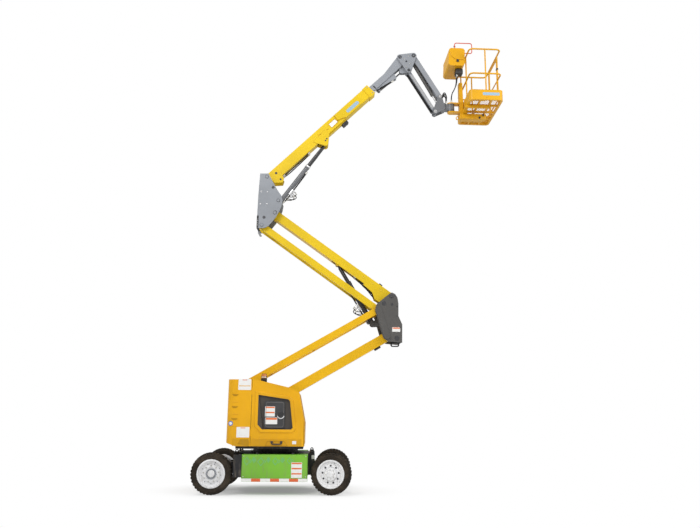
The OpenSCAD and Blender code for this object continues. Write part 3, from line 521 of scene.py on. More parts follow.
# Finish of each node of the frame, by the start of its name
NODE_FINISH = (
    ("chassis_frame", "black"), ("battery_boxes", "green"), ("axle_front", "black"), ("steer_", "slate"),
    ("tie_rod", "slate"), ("tyre_", "tyre"), ("rim_", "silver"), ("slew_ring", "black"),
    ("turntable_frame", "black"), ("counterweight", "amber"), ("hood_", "amber"), ("control_door", "door"),
    ("beacon", "black"), ("lower_", "yellow_low"), ("riser_knuckle", "slate"), ("upper_", "yellow"),
    ("riser_cylinder", "barrel_dark"), ("riser_rod", "rod"), ("upright", "grey"), ("boom_outer", "yellow"),
    ("boom_fly", "grey"), ("lift_cylinder", "barrel"), ("lift_rod", "rod"), ("jib_head", "grey"),
    ("level_cylinder", "slate"), ("level_rod", "rod"), ("jib_arm", "grey"), ("jib_link", "grey"),
    ("jib_cylinder", "slate"), ("jib_rod", "bright"), ("jib_end", "barrel"), ("platform_", "basket"),
    ("control_console", "basket"), ("guard_bar", "red"),
)


# ---------------------------------------------------------------- settings


def colour_prop(name, text, value):
    return bpy.props.FloatVectorProperty(
        name=name, description=text, subtype="COLOR", size=3, min=0.0, max=1.0, default=value)


def length_prop(name, text, value):
    return bpy.props.FloatProperty(name=name, description=text, default=value, min=0.0, unit="LENGTH")


class LiftColours(bpy.types.PropertyGroup):
    """Paint colours of the machine."""

    yellow: colour_prop("Boom yellow", "Upper arms and outer boom", (0.71, 0.490, 0.014))
    yellow_low: colour_prop("Riser yellow", "Lower arms of the riser", (0.77, 0.445, 0.008))
    amber: colour_prop("Cover amber", "Covers", (0.76, 0.385, 0.008))
    basket: colour_prop("Platform amber", "Rails, floor and console", (0.71, 0.362, 0.010))
    green: colour_prop("Panel green", "Battery boxes", (0.19, 0.47, 0.045))
    grey: colour_prop("Arm grey", "Upright, fly boom and jib", (0.27, 0.285, 0.31))
    slate: colour_prop("Slate", "Knuckle plates and castings", (0.095, 0.092, 0.088))
    black: colour_prop("Frame black", "Chassis and turntable frame", (0.022, 0.022, 0.024))
    silver: colour_prop("Rim silver", "Rims", (0.76, 0.76, 0.77))
    red: colour_prop("Guard red", "Guard bar of the console", (0.60, 0.09, 0.05))


class LiftSizes(bpy.types.PropertyGroup):
    """Sizes of the trim."""

    tread_depth: length_prop("Tread depth", "Depth of the tyre tread", 0.012)
    hose_radius: length_prop("Hose radius", "Radius of a usual hydraulic hose", 0.010)
    label_thickness: length_prop("Label thickness", "Thickness of a label", 0.0012)


class StageSettings(bpy.types.PropertyGroup):
    """Camera and lights."""

    camera_place: bpy.props.FloatVectorProperty(
        name="Camera place", description="Where the camera stands", subtype="TRANSLATION", unit="LENGTH",
        default=(0.6484, -12.8872, 1.3012))
    camera_turn: bpy.props.FloatVectorProperty(
        name="Camera turn", description="Pitch, roll and yaw of the camera", subtype="EULER",
        unit="ROTATION", default=(math.radians(102.418), math.radians(-0.471), math.radians(-3.041)))
    lens_mm: bpy.props.FloatProperty(
        name="Lens", description="Focal length of the camera", default=35.49, min=1.0,
        subtype="DISTANCE_CAMERA")
    key_power: bpy.props.FloatProperty(
        name="Key light", description="Power of the large key light", default=1000.0, min=0.0, unit="POWER")
    fill_level: bpy.props.FloatProperty(
        name="Fill level", description="Brightness of the surrounding light", default=0.50, min=0.0)


# ---------------------------------------------------------------- small parts that repeat


def label(name, body, place, width, height, headers=0, ground="white"):
    """Blank label, with plain coloured header bars where it has panels."""
    thick = bpy.context.scene.lift_sizes.label_thickness
    Shape().plate(rounded(width, height, 0.006), 0.0003, thick, place, 0.0003, 1).done(name, body, ground)
    if headers:
        bars = Shape()
        pitch = height / headers
        edge = width / 2 - 0.006
        for i in range(headers):
            y = height / 2 - height * i / headers
            bars.box((-edge, y - pitch * 0.34, thick), (edge, y - 0.006, thick + 0.0008), place, 0.0003, 1)
        bars.done(name + "_headers", body, "header")


def bolt_row(name, body, places, size=0.012, finish="zinc"):
    """Bolts at a list of places as one piece."""
    shape = Shape()
    for place in places:
        shape.bolt(place, size, size * 0.7)
    shape.done(name, body, finish)


def discs(name, body, finish, places, profile, steps=24, ring=False):
    """The same turned form at a list of places as one piece."""
    shape = Shape()
    for place in places:
        shape.turned(profile, place, steps, ring)
    shape.done(name, body, finish)


def hose(name, body, points, size=1.0, place=HERE):
    """Hydraulic hose with crimped fittings; a size of 1 is the usual radius."""
    radius = bpy.context.scene.lift_sizes.hose_radius * size
    path = smooth_path(moved(place, points))
    Shape().tube(path, radius).done(name, body, "hose")
    places = [facing(tip, inner - tip, (0.1, 1, 0.2)) for tip, inner in (path[:2], path[:-3:-1])]
    crimp = [(radius * 1.35, -0.004), (radius * 1.45, 0.0), (radius * 1.45, 0.045), (radius * 1.2, 0.05)]
    discs(name + "_crimps", body, "zinc", places, crimp, 12)


def rod_sleeve(name, body, base, start, end, radius, taper=0.012):
    """Black sleeve round a cylinder's rod, from inside the barrel to just before the eye."""
    place = axes(base.translation, (0, 1, 0), base.to_3x3().col[0])
    profile = [(radius * 0.8, start), (radius, start + 0.01), (radius, end - taper), (radius * 0.84, end)]
    Shape().turned(profile, place, 32).done(name, body, "sleeve")


ELBOW = ((0.013, 0.0), (0.013, 0.012), (0.010, 0.014), (0.010, 0.030), (0.014, 0.032), (0.014, 0.046),
         (0.010, 0.050))
# Way along the valve, way across it and reach of each short hose loop
LOOPS = ((0.025, -0.014, 0.175), (0.065, 0.016, 0.195), (0.105, -0.014, 0.165))


def fitting_block(name, body, base, start, sign):
    """Valve with bright elbows and short hose loops on a cylinder's side."""
    low, high = sorted((0.042 * sign, 0.084 * sign))
    valve = Shape().box((start, -0.032, low), (start + 0.13, 0.032, high), base, 0.005)
    turn = HERE if sign > 0 else spun(180, "X")
    for x, y, _ in LOOPS:
        valve.turned(ELBOW, base @ at(start + x, y, 0.083 * sign) @ turn, 16)
    valve.done(name, body, "bright")
    for i, (x, y, out) in enumerate(LOOPS):
        x += start
        points = [(x, y, 0.130 * sign), (x - 0.02, y, out * sign), (x - 0.09, y, (out - 0.02) * sign),
                  (x - 0.14, y * 0.6, 0.080 * sign), (x - 0.15, y * 0.4, 0.050 * sign)]
        hose("%s_loop_%d" % (name, i), body, points, 0.8, base)


# ---------------------------------------------------------------- operators


class LiftOperator:
    """What all operators of the boom lift share."""

    bl_options = {"REGISTER", "UNDO"}

    def execute(self, context):
        self.build(context)
        return {"FINISHED"}


class LIFT_OT_paint(LiftOperator, bpy.types.Operator):
    """Paint every node of the frame"""

    bl_idname = "lift.paint"
    bl_label = "Paint the frame"

    def build(self, context):
        for name, node in frame["nodes"].items():
            finish = next((f for start, f in NODE_FINISH if name.startswith(start)), None)
            if finish is None:
                raise RuntimeError("no finish for node " + name)
            node.data.materials.clear()
            node.data.materials.append(material_of(finish))


LUGS = 36
# X and Y of a lug's corners in the tread's surface, and the radius of the tyre's foot
LUG = ((-0.0195, 0.020), (0.0175, 0.012), (0.0195, 0.060), (0.0175, 0.086), (-0.0175, 0.092))
BEAD = 0.2352


class LIFT_OT_wheels(LiftOperator, bpy.types.Operator):
    """Build treaded tyres and dress the rims"""

    bl_idname = "lift.wheels"
    bl_label = "Tyres and rims"

    def build(self, context):
        for end in ("rear", "front"):
            for side, sign in (("left", -1), ("right", 1)):
                name = "%s_%s" % (end, side)
                body = "wheel_" + name
                place = facing(PIN[body], AXIS[body] * sign)
                self.tyre(context, place, body, "tyre_" + name)
                self.rim(place, body, name, end == "front")

    def tyre(self, context, place, body, node):
        """Carcass turned round the hub, with two rows of lugs and blocks down its shoulders."""
        low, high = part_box(node)
        outer = (high[2] - low[2]) / 2
        base = outer - context.scene.lift_sizes.tread_depth
        flank = [(BEAD, 0.093), (BEAD + 0.006, 0.104), (BEAD + 0.026, 0.111), (BEAD + 0.04, 0.1125),
                 (BEAD + 0.044, 0.1145), (BEAD + 0.060, 0.116), (base - 0.034, 0.1145),
                 (base - 0.014, 0.102), (base - 0.002, 0.078), (base, 0.05)]
        shape = Shape().turned([(r, -height) for r, height in flank] + flank[::-1], HERE, 72, True)
        for i in range(LUGS):
            for side in (-1, 1):
                spin = Matrix.Rotation(math.tau * (i + 0.25 * side) / LUGS, 4, "Z")
                self.lug(shape, base - 0.004, outer - 0.0006, side, spin)
                shape.box((base - 0.030, -0.011, side * 0.100 - 0.006),
                          (base - 0.004, 0.011, side * 0.100 + 0.006), spin, 0.002, 1)
        bmesh.ops.transform(shape.mesh, matrix=place, verts=shape.mesh.verts)
        piece = shape.done(node + "_tread", body, "tyre", 30)
        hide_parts(node)

    def lug(self, shape, inner, outer, side, spin):
        """Lug that narrows outwards and drops towards the shoulder."""
        new = shape.mesh.verts.new
        foot = [new((inner, x, side * y)) for x, y in LUG]
        face = [new((outer if y < 0.07 else outer - 0.006, x * 0.86, side * y * 0.985)) for x, y in LUG]
        order = -side
        rows = [foot[::order], face[::order]]
        shape.mesh.faces.new(rows[0])
        shape.mesh.faces.new(rows[1][::-1])
        for k in range(len(LUG)):
            m = (k + 1) % len(LUG)
            shape.mesh.faces.new((rows[0][m], rows[0][k], rows[1][k], rows[1][m]))
        bmesh.ops.transform(shape.mesh, matrix=spin, verts=foot + face)

    def rim(self, place, body, name, steered):
        """Rolled lip, dish, fasteners, hub and valve of one rim."""
        face = 0.076 if steered else 0.056
        edge = 0.084
        out = place @ at(0, 0, face)
        raised = out @ at(0, 0, 0.0045)
        lip = [(0.2045, 0.081), (0.2045, 0.096), (0.208, 0.101), (0.216, 0.1035), (0.226, 0.1035),
               (0.2335, 0.100), (0.2345, 0.0935), (0.212, 0.0925)]
        dish = [(0.2088, edge), (0.200, face + (edge - face) * 0.45), (0.188, face + 0.006),
                (0.174, face + 0.0025), (0.170, face + 0.0004), (0.2088, face + 0.0004)]
        inner, outer = (0.112, 0.160) if steered else (0.100, 0.150)
        field = [(inner, 0.0004), (inner + 0.005, 0.0045), (outer - 0.007, 0.0045), (outer, 0.0004)]
        white = Shape().turned(lip, place, 72, True).turned(dish, place, 72, True)
        white.turned(field, out, 64, True)
        if steered:
            hub = place @ at(0, 0, face + 0.024)
            white.turned([(0.104, -0.0236), (0.104, -0.004), (0.099, 0.003), (0.090, 0.005),
                          (0.0575, 0.0055), (0.055, 0.013), (0.048, 0.018), (0.030, 0.020),
                          (0, 0.0205)], hub, 56)
            # Dark dished discs painted as the shade inside the hub disc's holes
            hole = [(0.0160, 0.0), (0.0160, 0.0016), (0.0135, 0.0022), (0.0125, 0.0006), (0, 0.0004)]
            discs("rim_holes_" + name, body, "dark_metal", ring_places(raised, 0.139, 9, 10), hole, 20)
            bolt_row("hub_bolts_" + name, body, ring_places(hub @ at(0, 0, 0.0052), 0.074, 8, 5), 0.0065)
        else:
            # Grey ring round the cap, painted as the shade in the cap's recess
            band = [(0.088, 0.0004), (0.086, 0.010), (0.078, 0.013), (0.067, 0.010), (0.062, 0.0004)]
            discs("hub_ring_" + name, body, "grey", [out], band, 56, True)
            cap = [(0.058, 0.0), (0.058, 0.020), (0.050, 0.028), (0.030, 0.031), (0, 0.032)]
            white.turned(cap, out, 48)
            bolt_row("rim_bolts_" + name, body, ring_places(raised, 0.127, 9, 12), 0.0105)
            # Grey discs painted as the shade inside the vent holes
            vent = [(0.0085, 0.0004), (0.0085, 0.0012), (0, 0.0012)]
            discs("rim_vents_" + name, body, "grey", ring_places(out, 0.1605, 9, 32), vent, 16)
        white.done("rim_dish_" + name, body, "silver")
        stem = [(0.0055, 0), (0.0055, 0.022), (0.0042, 0.024), (0.0042, 0.034), (0.003, 0.036)]
        discs("valve_" + name, body, "hose", [out @ spun(70) @ at(0.188, 0, 0.004)], stem, 10)


# Place from the panel's rear top corner, then half width and half height of each lozenge
MOTIF = (
    (0.085, 0.105, 0.050, 0.066), (0.205, 0.085, 0.036, 0.046), (0.320, 0.112, 0.054, 0.070),
    (0.445, 0.082, 0.034, 0.044), (0.560, 0.106, 0.048, 0.062), (0.680, 0.084, 0.034, 0.044),
    (0.795, 0.096, 0.040, 0.052),
)
MOTIF_LINE = 0.005
DECK_TOP = 0.66


class LIFT_OT_chassis(LiftOperator, bpy.types.Operator):
    """Dress the chassis: panel trim, warning strip, knobs, bolts, lines and labels"""

    bl_idname = "lift.chassis"
    bl_label = "Chassis trim"

    def build(self, context):
        low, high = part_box("battery_boxes")
        x0, x1, z0, z1 = low[0], high[0], low[2], high[2]
        self.panels("near", -1, low[1], (x0, x1, z0, z1))
        self.panels("far", 1, high[1], (x0, x1, z0, z1))
        label("lug_label", "chassis", on_face(0.672, 0.598, -0.4302), 0.050, 0.062)
        label("panel_label", "chassis", on_face(x1 - 0.183, z0 + 0.190, low[1] - 0.0034), 0.180, 0.250, 3)
        self.motif(low[1] - 0.0034, x0, z1)
        self.frame_parts()

    def panels(self, side, sign, y, edges):
        """Panel with its screws, red and white strip, knobs and lip on one battery box."""
        x0, x1, z0, z1 = edges
        strip_top = z0 + 0.056
        middle = (x0 + x1) / 2
        width, height = x1 - x0 - 0.020, z1 - strip_top - 0.008
        sheet = on_face(middle, (strip_top + z1) / 2, y, sign)
        Shape().plate(rounded(width, height, 0.008), 0.0004, 0.0032, sheet, 0.0012).done(
            "battery_panel_" + side, "chassis", "green")
        reach, rise = width / 2 - 0.022, height / 2 - 0.022
        screws = [sheet @ at(x, z, 0.0032) for x in (-reach, reach) for z in (-rise, rise)]
        bolt_row("panel_screws_" + side, "chassis", screws, 0.0075)
        half = (x1 - x0 - 0.006) / 2
        strip = on_face(middle, z0 + 0.028, y, sign)
        Shape().box((-half, -0.025, 0.0004), (half, 0.025, 0.0018), strip, 0.0004, 1).done(
            "strip_white_" + side, "chassis", "white")
        blocks = Shape()
        for start in (0.168, 0.482, 0.797):
            start += x0 - middle
            blocks.box((start, -0.0245, 0.0018), (start + 0.150, 0.0245, 0.0026),
                       strip @ Matrix.Diagonal((-sign, 1, 1, 1)), 0.0004, 1)
        blocks.done("strip_red_" + side, "chassis", "strip_red")
        knob = [(0.014, 0), (0.014, 0.010), (0.022, 0.014), (0.024, 0.020), (0.018, 0.027), (0, 0.029)]
        spots = [at(x, y - sign * 0.035, z1) for x in (x0 + 0.251, x1 - 0.248)]
        discs("box_knobs_" + side, "chassis", "plastic", spots, knob, 20)
        y -= sign * 0.030
        Shape().box((x0 + 0.004, y - 0.012, z1 - 0.001), (x1 - 0.004, y + 0.012, z1 + 0.004)).done(
            "box_lip_" + side, "chassis", "green")

    def motif(self, y, x0, z1):
        """Plain pattern of outlined lozenges with chevrons between them along the top of the panel."""
        shape = Shape()
        for i, (x, drop, half_w, half_h) in enumerate(MOTIF):
            spot = on_face(x0 + x, z1 - drop, y)
            lozenge = [(half_w, 0), (0, half_h), (-half_w, 0), (0, -half_h)]
            shape.hoop(lozenge, grown(lozenge, -MOTIF_LINE), 0.0, 0.0009, spot)
            if i % 2:
                small = [(a * 0.42, b * 0.42) for a, b in lozenge]
                shape.hoop(small, grown(small, -MOTIF_LINE), 0.0, 0.0009, spot)
                continue
            reach = half_w + 0.030
            for z in (-0.030, 0.030):
                tip = [(reach, 0), (reach - 0.024, z), (reach - 0.030, z), (reach - 0.006, 0)]
                shape.plate(tip, 0.0, 0.0009, spot, 0.0)
        shape.done("panel_motif", "chassis", "teal")

    def frame_parts(self):
        """Bolts of the deck and the slew ring, and the brake lines."""
        spots = [at(x, y, DECK_TOP) for x in (-0.62, 0.62) for y in (-0.30, -0.15, 0.15, 0.30)]
        bolt_row("deck_bolts", "chassis", spots)
        ring = Shape()
        for spot in ring_places(at(0, 0, DECK_TOP), 0.425, 24):
            ring.bolt(spot, 0.013, 0.010)
        ring.done("slew_bolts", "chassis", "dark_metal")
        for end, x in (("rear", -1.015), ("front", 1.015)):
            for side, sign in (("near", -1), ("far", 1)):
                points = [(x * 0.67, sign * 0.10, 0.52), (x * 0.80, sign * 0.14, 0.50),
                          (x * 0.95, sign * 0.33, 0.435), (x + 0.02, sign * 0.44, 0.425)]
                hose("brake_line_%s_%s" % (end, side), "chassis", points, 0.7)


# Outlines on a side cover: the recess as it is cut and the dark window with its trim
RECESS = [(-0.272, 1.640), (0.255, 1.563), (0.319, 1.071), (-0.190, 1.067)]
WINDOW = [(-0.275, 1.640), (0.232, 1.568), (0.260, 1.540), (0.316, 1.100), (0.292, 1.069), (-0.202, 1.069),
          (-0.275, 1.147)]
WINDOW_IN = [(-0.2715, 1.6385), (0.231, 1.5655), (0.2555, 1.538), (0.3135, 1.101), (0.2905, 1.0725),
             (-0.1900, 1.0690), (-0.2015, 1.1480)]
# Offset from the window and height of each line of the bevel round it
BEVEL = ((0.058, 0.0003), (0.054, 0.0080), (0.048, 0.0122), (0.042, 0.0112), (0.004, 0.0022),
         (0.0004, 0.0003))
# Foot and top of the skirt, and how far it stands out at each of them
SKIRT = (0.795, 0.915, 0.0010, 0.0072)
# Name, X, Z and height of each tail label, with the drop, half width and finish of its bars
TAIL_LABELS = (
    ("high", -0.516, 1.812, 0.184, ((0.010, 0.040, "header"), (0.110, 0.094, "amber"))),
    ("low", -0.517, 1.019, 0.172, ((0.010, 0.040, "header"),)),
)


class LIFT_OT_covers(LiftOperator, bpy.types.Operator):
    """Dress the turntable covers: scoops, seams, recess, door, latch and labels"""

    bl_idname = "lift.covers"
    bl_label = "Turntable covers"

    def build(self, context):
        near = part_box("counterweight")[0][1]
        for side, sign, body in (("near", -1, "cover_left"), ("far", 1, "cover_right")):
            # X and Y of the flank's place are the world's X and Z; its Z points outwards
            plane = Matrix(((1, 0, 0, 0), (0, 0, sign, -sign * near), (0, 1, 0, 0), (0, 0, 0, 1)))
            self.tail(side, plane)
            self.recess(side, plane, body)
            self.latch(side, plane, body)
        spot = [on_face(-0.728, 1.161, near)]
        discs("round_sticker", "turntable", "blue", spot,
              [(0.038, 0.0003), (0.038, 0.0016), (0.036, 0.0022), (0, 0.0022)], 40)
        discs("round_sticker_middle", "turntable", "white", spot,
              [(0.024, 0.0024), (0.024, 0.0028), (0, 0.0028)], 32)
        self.door(near + 0.012)

    def tail(self, side, plane):
        """Scoops, ribs, seam, skirt and labels on one flank of the rear cover."""
        plugs, scoops, ribs = Shape(), Shape(), Shape()
        for z in (1.630, 1.430, 1.230):
            slot = plane @ at(-0.620, z, 0) @ spun(-25)
            plugs.box((-0.0612, -0.0232, -0.004), (0.0612, 0.0232, 0.0006), slot, 0.0004, 1)
            high, low = z + 0.0185, z - 0.0165
            scoops.lofted(
                [[(-0.7235, high, top), (-0.6125, high, top), (-0.643, low, foot), (-0.695, low, foot)]
                 for top, foot in ((0.0004, 0.0004), (0.0075, 0.0014))], plane)
            ribs.plate([(-0.717, z - 0.100), (-0.603, z - 0.100), (-0.606, z - 0.119), (-0.714, z - 0.119)],
                       -0.001, 0.0050, plane, 0.003)
        plugs.done("vent_plugs_" + side, "turntable", "amber")
        # Scoops in darker amber, painted shade on the scoops
        scoops.done("scoops_" + side, "turntable", "amber_shade")
        ribs.done("ribs_" + side, "turntable", "amber")
        Shape().box((-0.3905, 0.84, -0.020), (-0.3875, 1.895, -0.0030), plane, 0.0006, 1).done(
            "cover_seam_" + side, "turntable", "hose")
        self.skirt("tail_" + side, "turntable", plane, -0.690, -0.406)
        # Thin darker amber plate painted as the shade of the fold at the cover's foot
        fold = [(-0.554, 0.906), (-0.420, 0.906), (-0.410, 0.802), (-0.600, 0.826)]
        Shape().plate(fold, 0.0070, 0.0076, plane, 0.0).done("foot_fold_" + side, "turntable", "amber_shade")
        for name, x, z, height, bars in TAIL_LABELS:
            spot = plane @ at(x, z, 0)
            label("tail_label_%s_%s" % (name, side), "turntable", spot, 0.216, height)
            for i, (drop, half, finish) in enumerate(bars):
                y = height / 2 - drop
                Shape().box((-half, y - 0.012, 0.0012), (half, y, 0.0019), spot, 0.0003, 1).done(
                    "tail_bar_%s_%s_%d" % (name, side, i), "turntable", finish)

    def skirt(self, name, body, plane, x0, x1):
        """Band along the foot of a cover that leans inwards."""
        z0, z1, foot, top = SKIRT
        # Painted in darker amber as painted shade, since the band faces slightly down
        Shape().lofted([[(x0, z0, 0.0002), (x1, z0, 0.0002), (x1, z1, 0.0002), (x0, z1, 0.0002)],
                        [(x0, z0, foot), (x1, z0, foot), (x1, z1 - 0.006, top), (x0, z1 - 0.006, top)]],
                       plane).done("skirt_" + name, body, "amber_skirt_shade")

    def recess(self, side, plane, body):
        """Sloping bevel, trim, lining and dark floor of the recess in a side cover."""
        bevel = [[(x, z, height) for x, z in grown(WINDOW, by)] for by, height in BEVEL]
        Shape().lofted(bevel, plane, True).done("recess_bevel_" + side, body, "amber", 18)
        Shape().hoop(WINDOW, WINDOW_IN, 0.0002, 0.0013, plane).done("recess_trim_" + side, body, "char")
        Shape().plate(grown(RECESS, -0.0006), -0.0338, -0.0315, plane, 0.0).done(
            "recess_floor_" + side, body, "char")
        Shape().hoop(grown(RECESS, -0.0005), grown(RECESS, -0.0028), -0.0315, -0.0006, plane).done(
            "recess_lining_" + side, body, "char")
        self.skirt("cover_" + side, body, plane, -0.370, 0.466)

    def latch(self, side, plane, body):
        """Pressed field with a drop handle on the skirt of a side cover."""
        z0, z1, foot, top = SKIRT
        skirt = plane @ at(0, z0, foot) @ Matrix.Rotation(math.atan2(top - foot, z1 - z0), 4, "X")
        field = [(-0.140, 0.001), (-0.100, 0.084), (0.180, 0.086), (0.242, 0.001)]
        # Rim of the pressed field in darker amber, painted as the shade of its edge
        Shape().hoop(field, grown(field, -0.008), 0.0002, 0.0040, skirt).done(
            "latch_rim_" + side, body, "amber_shade")
        grip = [(-0.030, 0.068, 0.010), (-0.034, 0.052, 0.014), (-0.018, 0.036, 0.016),
                (0.052, 0.032, 0.017), (0.122, 0.036, 0.016), (0.138, 0.052, 0.014), (0.134, 0.068, 0.010)]
        handle = Shape().tube(smooth_path(grip), 0.0095, 10, skirt)
        for x in (-0.048, 0.110):
            handle.box((x, 0.054, 0.0005), (x + 0.042, 0.083, 0.013), skirt, 0.003)
        handle.done("latch_handle_" + side, body, "plastic")
        patch = [(0.316, 0.034), (0.383, 0.034), (0.383, 0.085), (0.316, 0.085)]
        Shape().plate(patch, 0.0003, 0.0013, skirt, 0.0).done("latch_label_" + side, body, "white")

    def door(self, y):
        """Pressed panel, rib, grip and labels of the control door."""
        low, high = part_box("control_door")
        x0, x1 = low[0] + 0.006, high[0]
        panel = on_face((x0 + x1) / 2 + 0.003, (low[2] + high[2]) / 2, y)
        width, height = x1 - x0 - 0.024, high[2] - low[2] - 0.018
        Shape().plate(rounded(width, height, 0.038, 7), 0.0004, 0.0050, panel, 0.0025, 3).done(
            "door_pressing", "door", "door")
        rims = [rounded(width - by, height - by, r, 7) for by, r in ((0.022, 0.030), (0.036, 0.023))]
        # Rib in a lighter grey, painted as the highlight along the door's edges
        Shape().hoop(*rims, 0.0050, 0.0072, panel).done("door_rib", "door", "gloss")
        spot = on_face(0.110, 1.307, y)
        cup = [(0.060, 0.0050), (0.060, 0.0085), (0.054, 0.0110), (0.047, 0.0065), (0, 0.0056)]
        discs("door_grip_cup", "door", "plastic", [spot], cup, 40)
        # White arc painted as the highlight on the grip's lower lip
        arc = []
        for r, steps in ((0.064, range(-165, -14, 10)), (0.052, range(-15, -166, -10))):
            arc += [(r * math.cos(math.radians(a)), r * math.sin(math.radians(a))) for a in steps]
        Shape().plate(arc, 0.0054, 0.0125, spot, 0.001).done("door_grip", "door", "silver")
        Shape().box((-0.028, -0.010, 0.0060), (0.024, 0.016, 0.0125), spot, 0.004).done(
            "door_latch", "door", "plastic")
        label("door_label_high", "door", on_face(-0.0735, 1.365, y - 0.0050), 0.166, 0.168, 2)
        label("door_label_low", "door", on_face(-0.0485, 1.2095, y - 0.0050), 0.204, 0.111, 1)


class LIFT_OT_beacon(LiftOperator, bpy.types.Operator):
    """Build the beacon with its ribbed lens, pale band and wire guard"""

    bl_idname = "lift.beacon"
    bl_label = "Beacon"

    def build(self, context):
        low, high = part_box("beacon")
        place = at((low[0] + high[0]) / 2, (low[1] + high[1]) / 2, high[2] - 0.078)
        for name, finish, ring, profile in (
            ("lens", "lens", False, ((0.0430, 0.0), (0.0438, 0.006), (0.0434, 0.058), (0.040, 0.066),
                                     (0.0315, 0.0778), (0, 0.0784))),
            ("band", "white", True, ((0.0436, 0.010), (0.0446, 0.012), (0.0446, 0.027), (0.0436, 0.029))),
            ("collar", "plastic", True, ((0.0526, -0.026), (0.0526, -0.003), (0.050, 0.001),
                                         (0.0443, 0.002), (0.0443, -0.026))),
        ):
            discs("beacon_" + name, "cover_left", finish, [place], profile, 48, ring)
        guard = Shape()
        wire = smooth_path([(0.0495, 0, 0.0), (0.0500, 0, 0.034), (0.0480, 0, 0.060), (0.037, 0, 0.0795)])
        for turn in range(6):
            spin = Matrix.Rotation(math.tau * (turn + 0.5) / 6, 4, "Z")
            guard.tube(wire, 0.0016, 6, place @ spin)
        for radius, height in ((0.0500, 0.036), (0.0370, 0.0795)):
            hoop = circle(radius, 32, height)
            guard.tube(hoop + hoop[:1], 0.0016, 6, place)
        guard.done("beacon_guard", "cover_left", "dark_metal")


# Distance of each body's flank from the middle plane
TURNTABLE_FACE = 0.248
KNUCKLE_FACE = 0.240
UPRIGHT_FACE = 0.208
ARM_FACE = 0.100
BOOM_FACE = 0.090
HEAD_FACE = 0.098
JIB_FACE = 0.072
# X, Z and radius of each bush, and X and Z of each bolt of the knuckle
KNUCKLE_BUSHES = ((1.939, 3.353, 0.030), (2.176, 2.707, 0.036), (2.089, 3.338, 0.015))
KNUCKLE_BOLTS = ((1.830, 3.300), (2.140, 3.500), (2.180, 3.300), (2.180, 3.120), (2.235, 2.900),
                 (2.060, 2.690), (1.800, 3.130))


class LIFT_OT_riser(LiftOperator, bpy.types.Operator):
    """Dress the riser: pin ends, knuckle plates, hoses, stops and labels"""

    bl_idname = "lift.riser"
    bl_label = "Riser"

    def build(self, context):
        for body, face, points in (
            ("knuckle", -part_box("riser_knuckle")[0][1], (K1, K2, K3)),
            ("turntable", TURNTABLE_FACE, (T1, T2)),
            ("upright", -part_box("upright")[0][1], (U3, U4, BOOM, LIFT_BASE)),
        ):
            ends = Shape()
            for spot in sides(face - 0.004, *points):
                ends.disc_pin(spot, 0.0335, 0.0035, 0.002)
            ends.done("pin_ends_" + body, body, "dark_metal")
        self.knuckle()
        self.arms()
        self.cylinder()

    def knuckle(self):
        """Bushes, bolts, label and hanging lug of the knuckle."""
        holes = Shape()
        for x, z, r in KNUCKLE_BUSHES:
            ring = [(r + 0.010, 0.0004), (r + 0.010, 0.003), (r + 0.002, 0.004), (r * 0.98, 0.001),
                    (0, -0.001)]
            for spot in sides(KNUCKLE_FACE, (x, z)):
                holes.turned(ring, spot, 32)
        holes.done("knuckle_bushes", "knuckle", "dark_metal")
        bolt_row("knuckle_bolts", "knuckle", sides(KNUCKLE_FACE, *KNUCKLE_BOLTS), 0.009, "dark_metal")
        label("knuckle_label", "knuckle", on_face(2.163, 2.868, -KNUCKLE_FACE), 0.150, 0.085, 1)
        under = on_face(2.163, 2.606, 0.0)
        lug = Shape().hoop(stadium(0.047, 0.036), stadium(0.041, 0.019), -0.016, 0.016, under)
        lug.box((2.080, -0.016, 2.634), (2.246, 0.016, 2.722), HERE, 0.004)
        lug.done("knuckle_lug", "knuckle", "black")
        Shape().hoop(stadium(0.041, 0.0205), stadium(0.041, 0.0165), -0.0175, 0.0175, under).done(
            "knuckle_lug_edge", "knuckle", "zinc")

    def arms(self):
        """Dimples and switch of the upper arm, and the stop of the lower one."""
        dimple = [(0.024, 0.0003), (0.024, 0.002), (0.018, 0.004), (0.014, 0.0015), (0, 0.001)]
        spots = sides(ARM_FACE, (1.565, 3.870), (1.734, 3.755), (1.891, 3.631))
        discs("upper_arm_dimples", "upper_arm", "yellow", spots, dimple)
        Shape().box((0.260, -0.050, -0.112), (0.330, 0.050, -0.080), along(K3, U3 - K3), 0.006).done(
            "upper_arm_switch", "upper_arm", "plastic")
        run = K1 - T1
        Shape().box((run.length - 0.30, -0.060, -0.120), (run.length - 0.18, 0.060, -0.084), along(T1, run),
                    0.006).done("lower_arm_stop", "lower_arm", "plastic")

    def cylinder(self):
        """Sleeve, fittings and hoses of the riser cylinder, and hoses over the upper arm's root."""
        base = along(RISER_BASE, AXIS["riser_rod"])
        low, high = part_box("riser_rod")
        reach = math.hypot(low[0] + 0.040 - RISER_BASE.x, high[2] - 0.040 - RISER_BASE.z)
        rod_sleeve("riser_rod_sleeve", "riser_rod", base, 0.47, reach - 0.075, 0.036)
        fitting_block("riser_fittings", "riser_barrel", base, 0.34, 1)
        for i, (y, z) in enumerate(((-0.020, 0.062), (0.004, 0.066), (0.026, 0.062))):
            points = [(0.075, y, z), (0.25, y, z + 0.014), (0.50, y, z + 0.010), (0.74, y, z + 0.014),
                      (0.90, y, z)]
            hose("riser_hose_%d" % i, "riser_barrel", points, 1.0, base)
        block = Shape().box((0.030, -0.034, 0.040), (0.110, 0.034, 0.085), base, 0.005)
        block.bolt(base @ at(0.070, 0, 0.085), 0.011, 0.008).done(
            "riser_valve_block", "riser_barrel", "dark_metal")
        for i, y in enumerate((-0.074, -0.050, 0.060)):
            points = [(0.16, y, 0.140), (0.28, y, 0.150 + 0.006 * i), (0.42, y, 0.126), (0.60, y, 0.094),
                      (0.80, y, 0.078)]
            hose("upper_arm_hose_%d" % i, "upper_arm", points, 1.0, along(K3, U3 - K3))


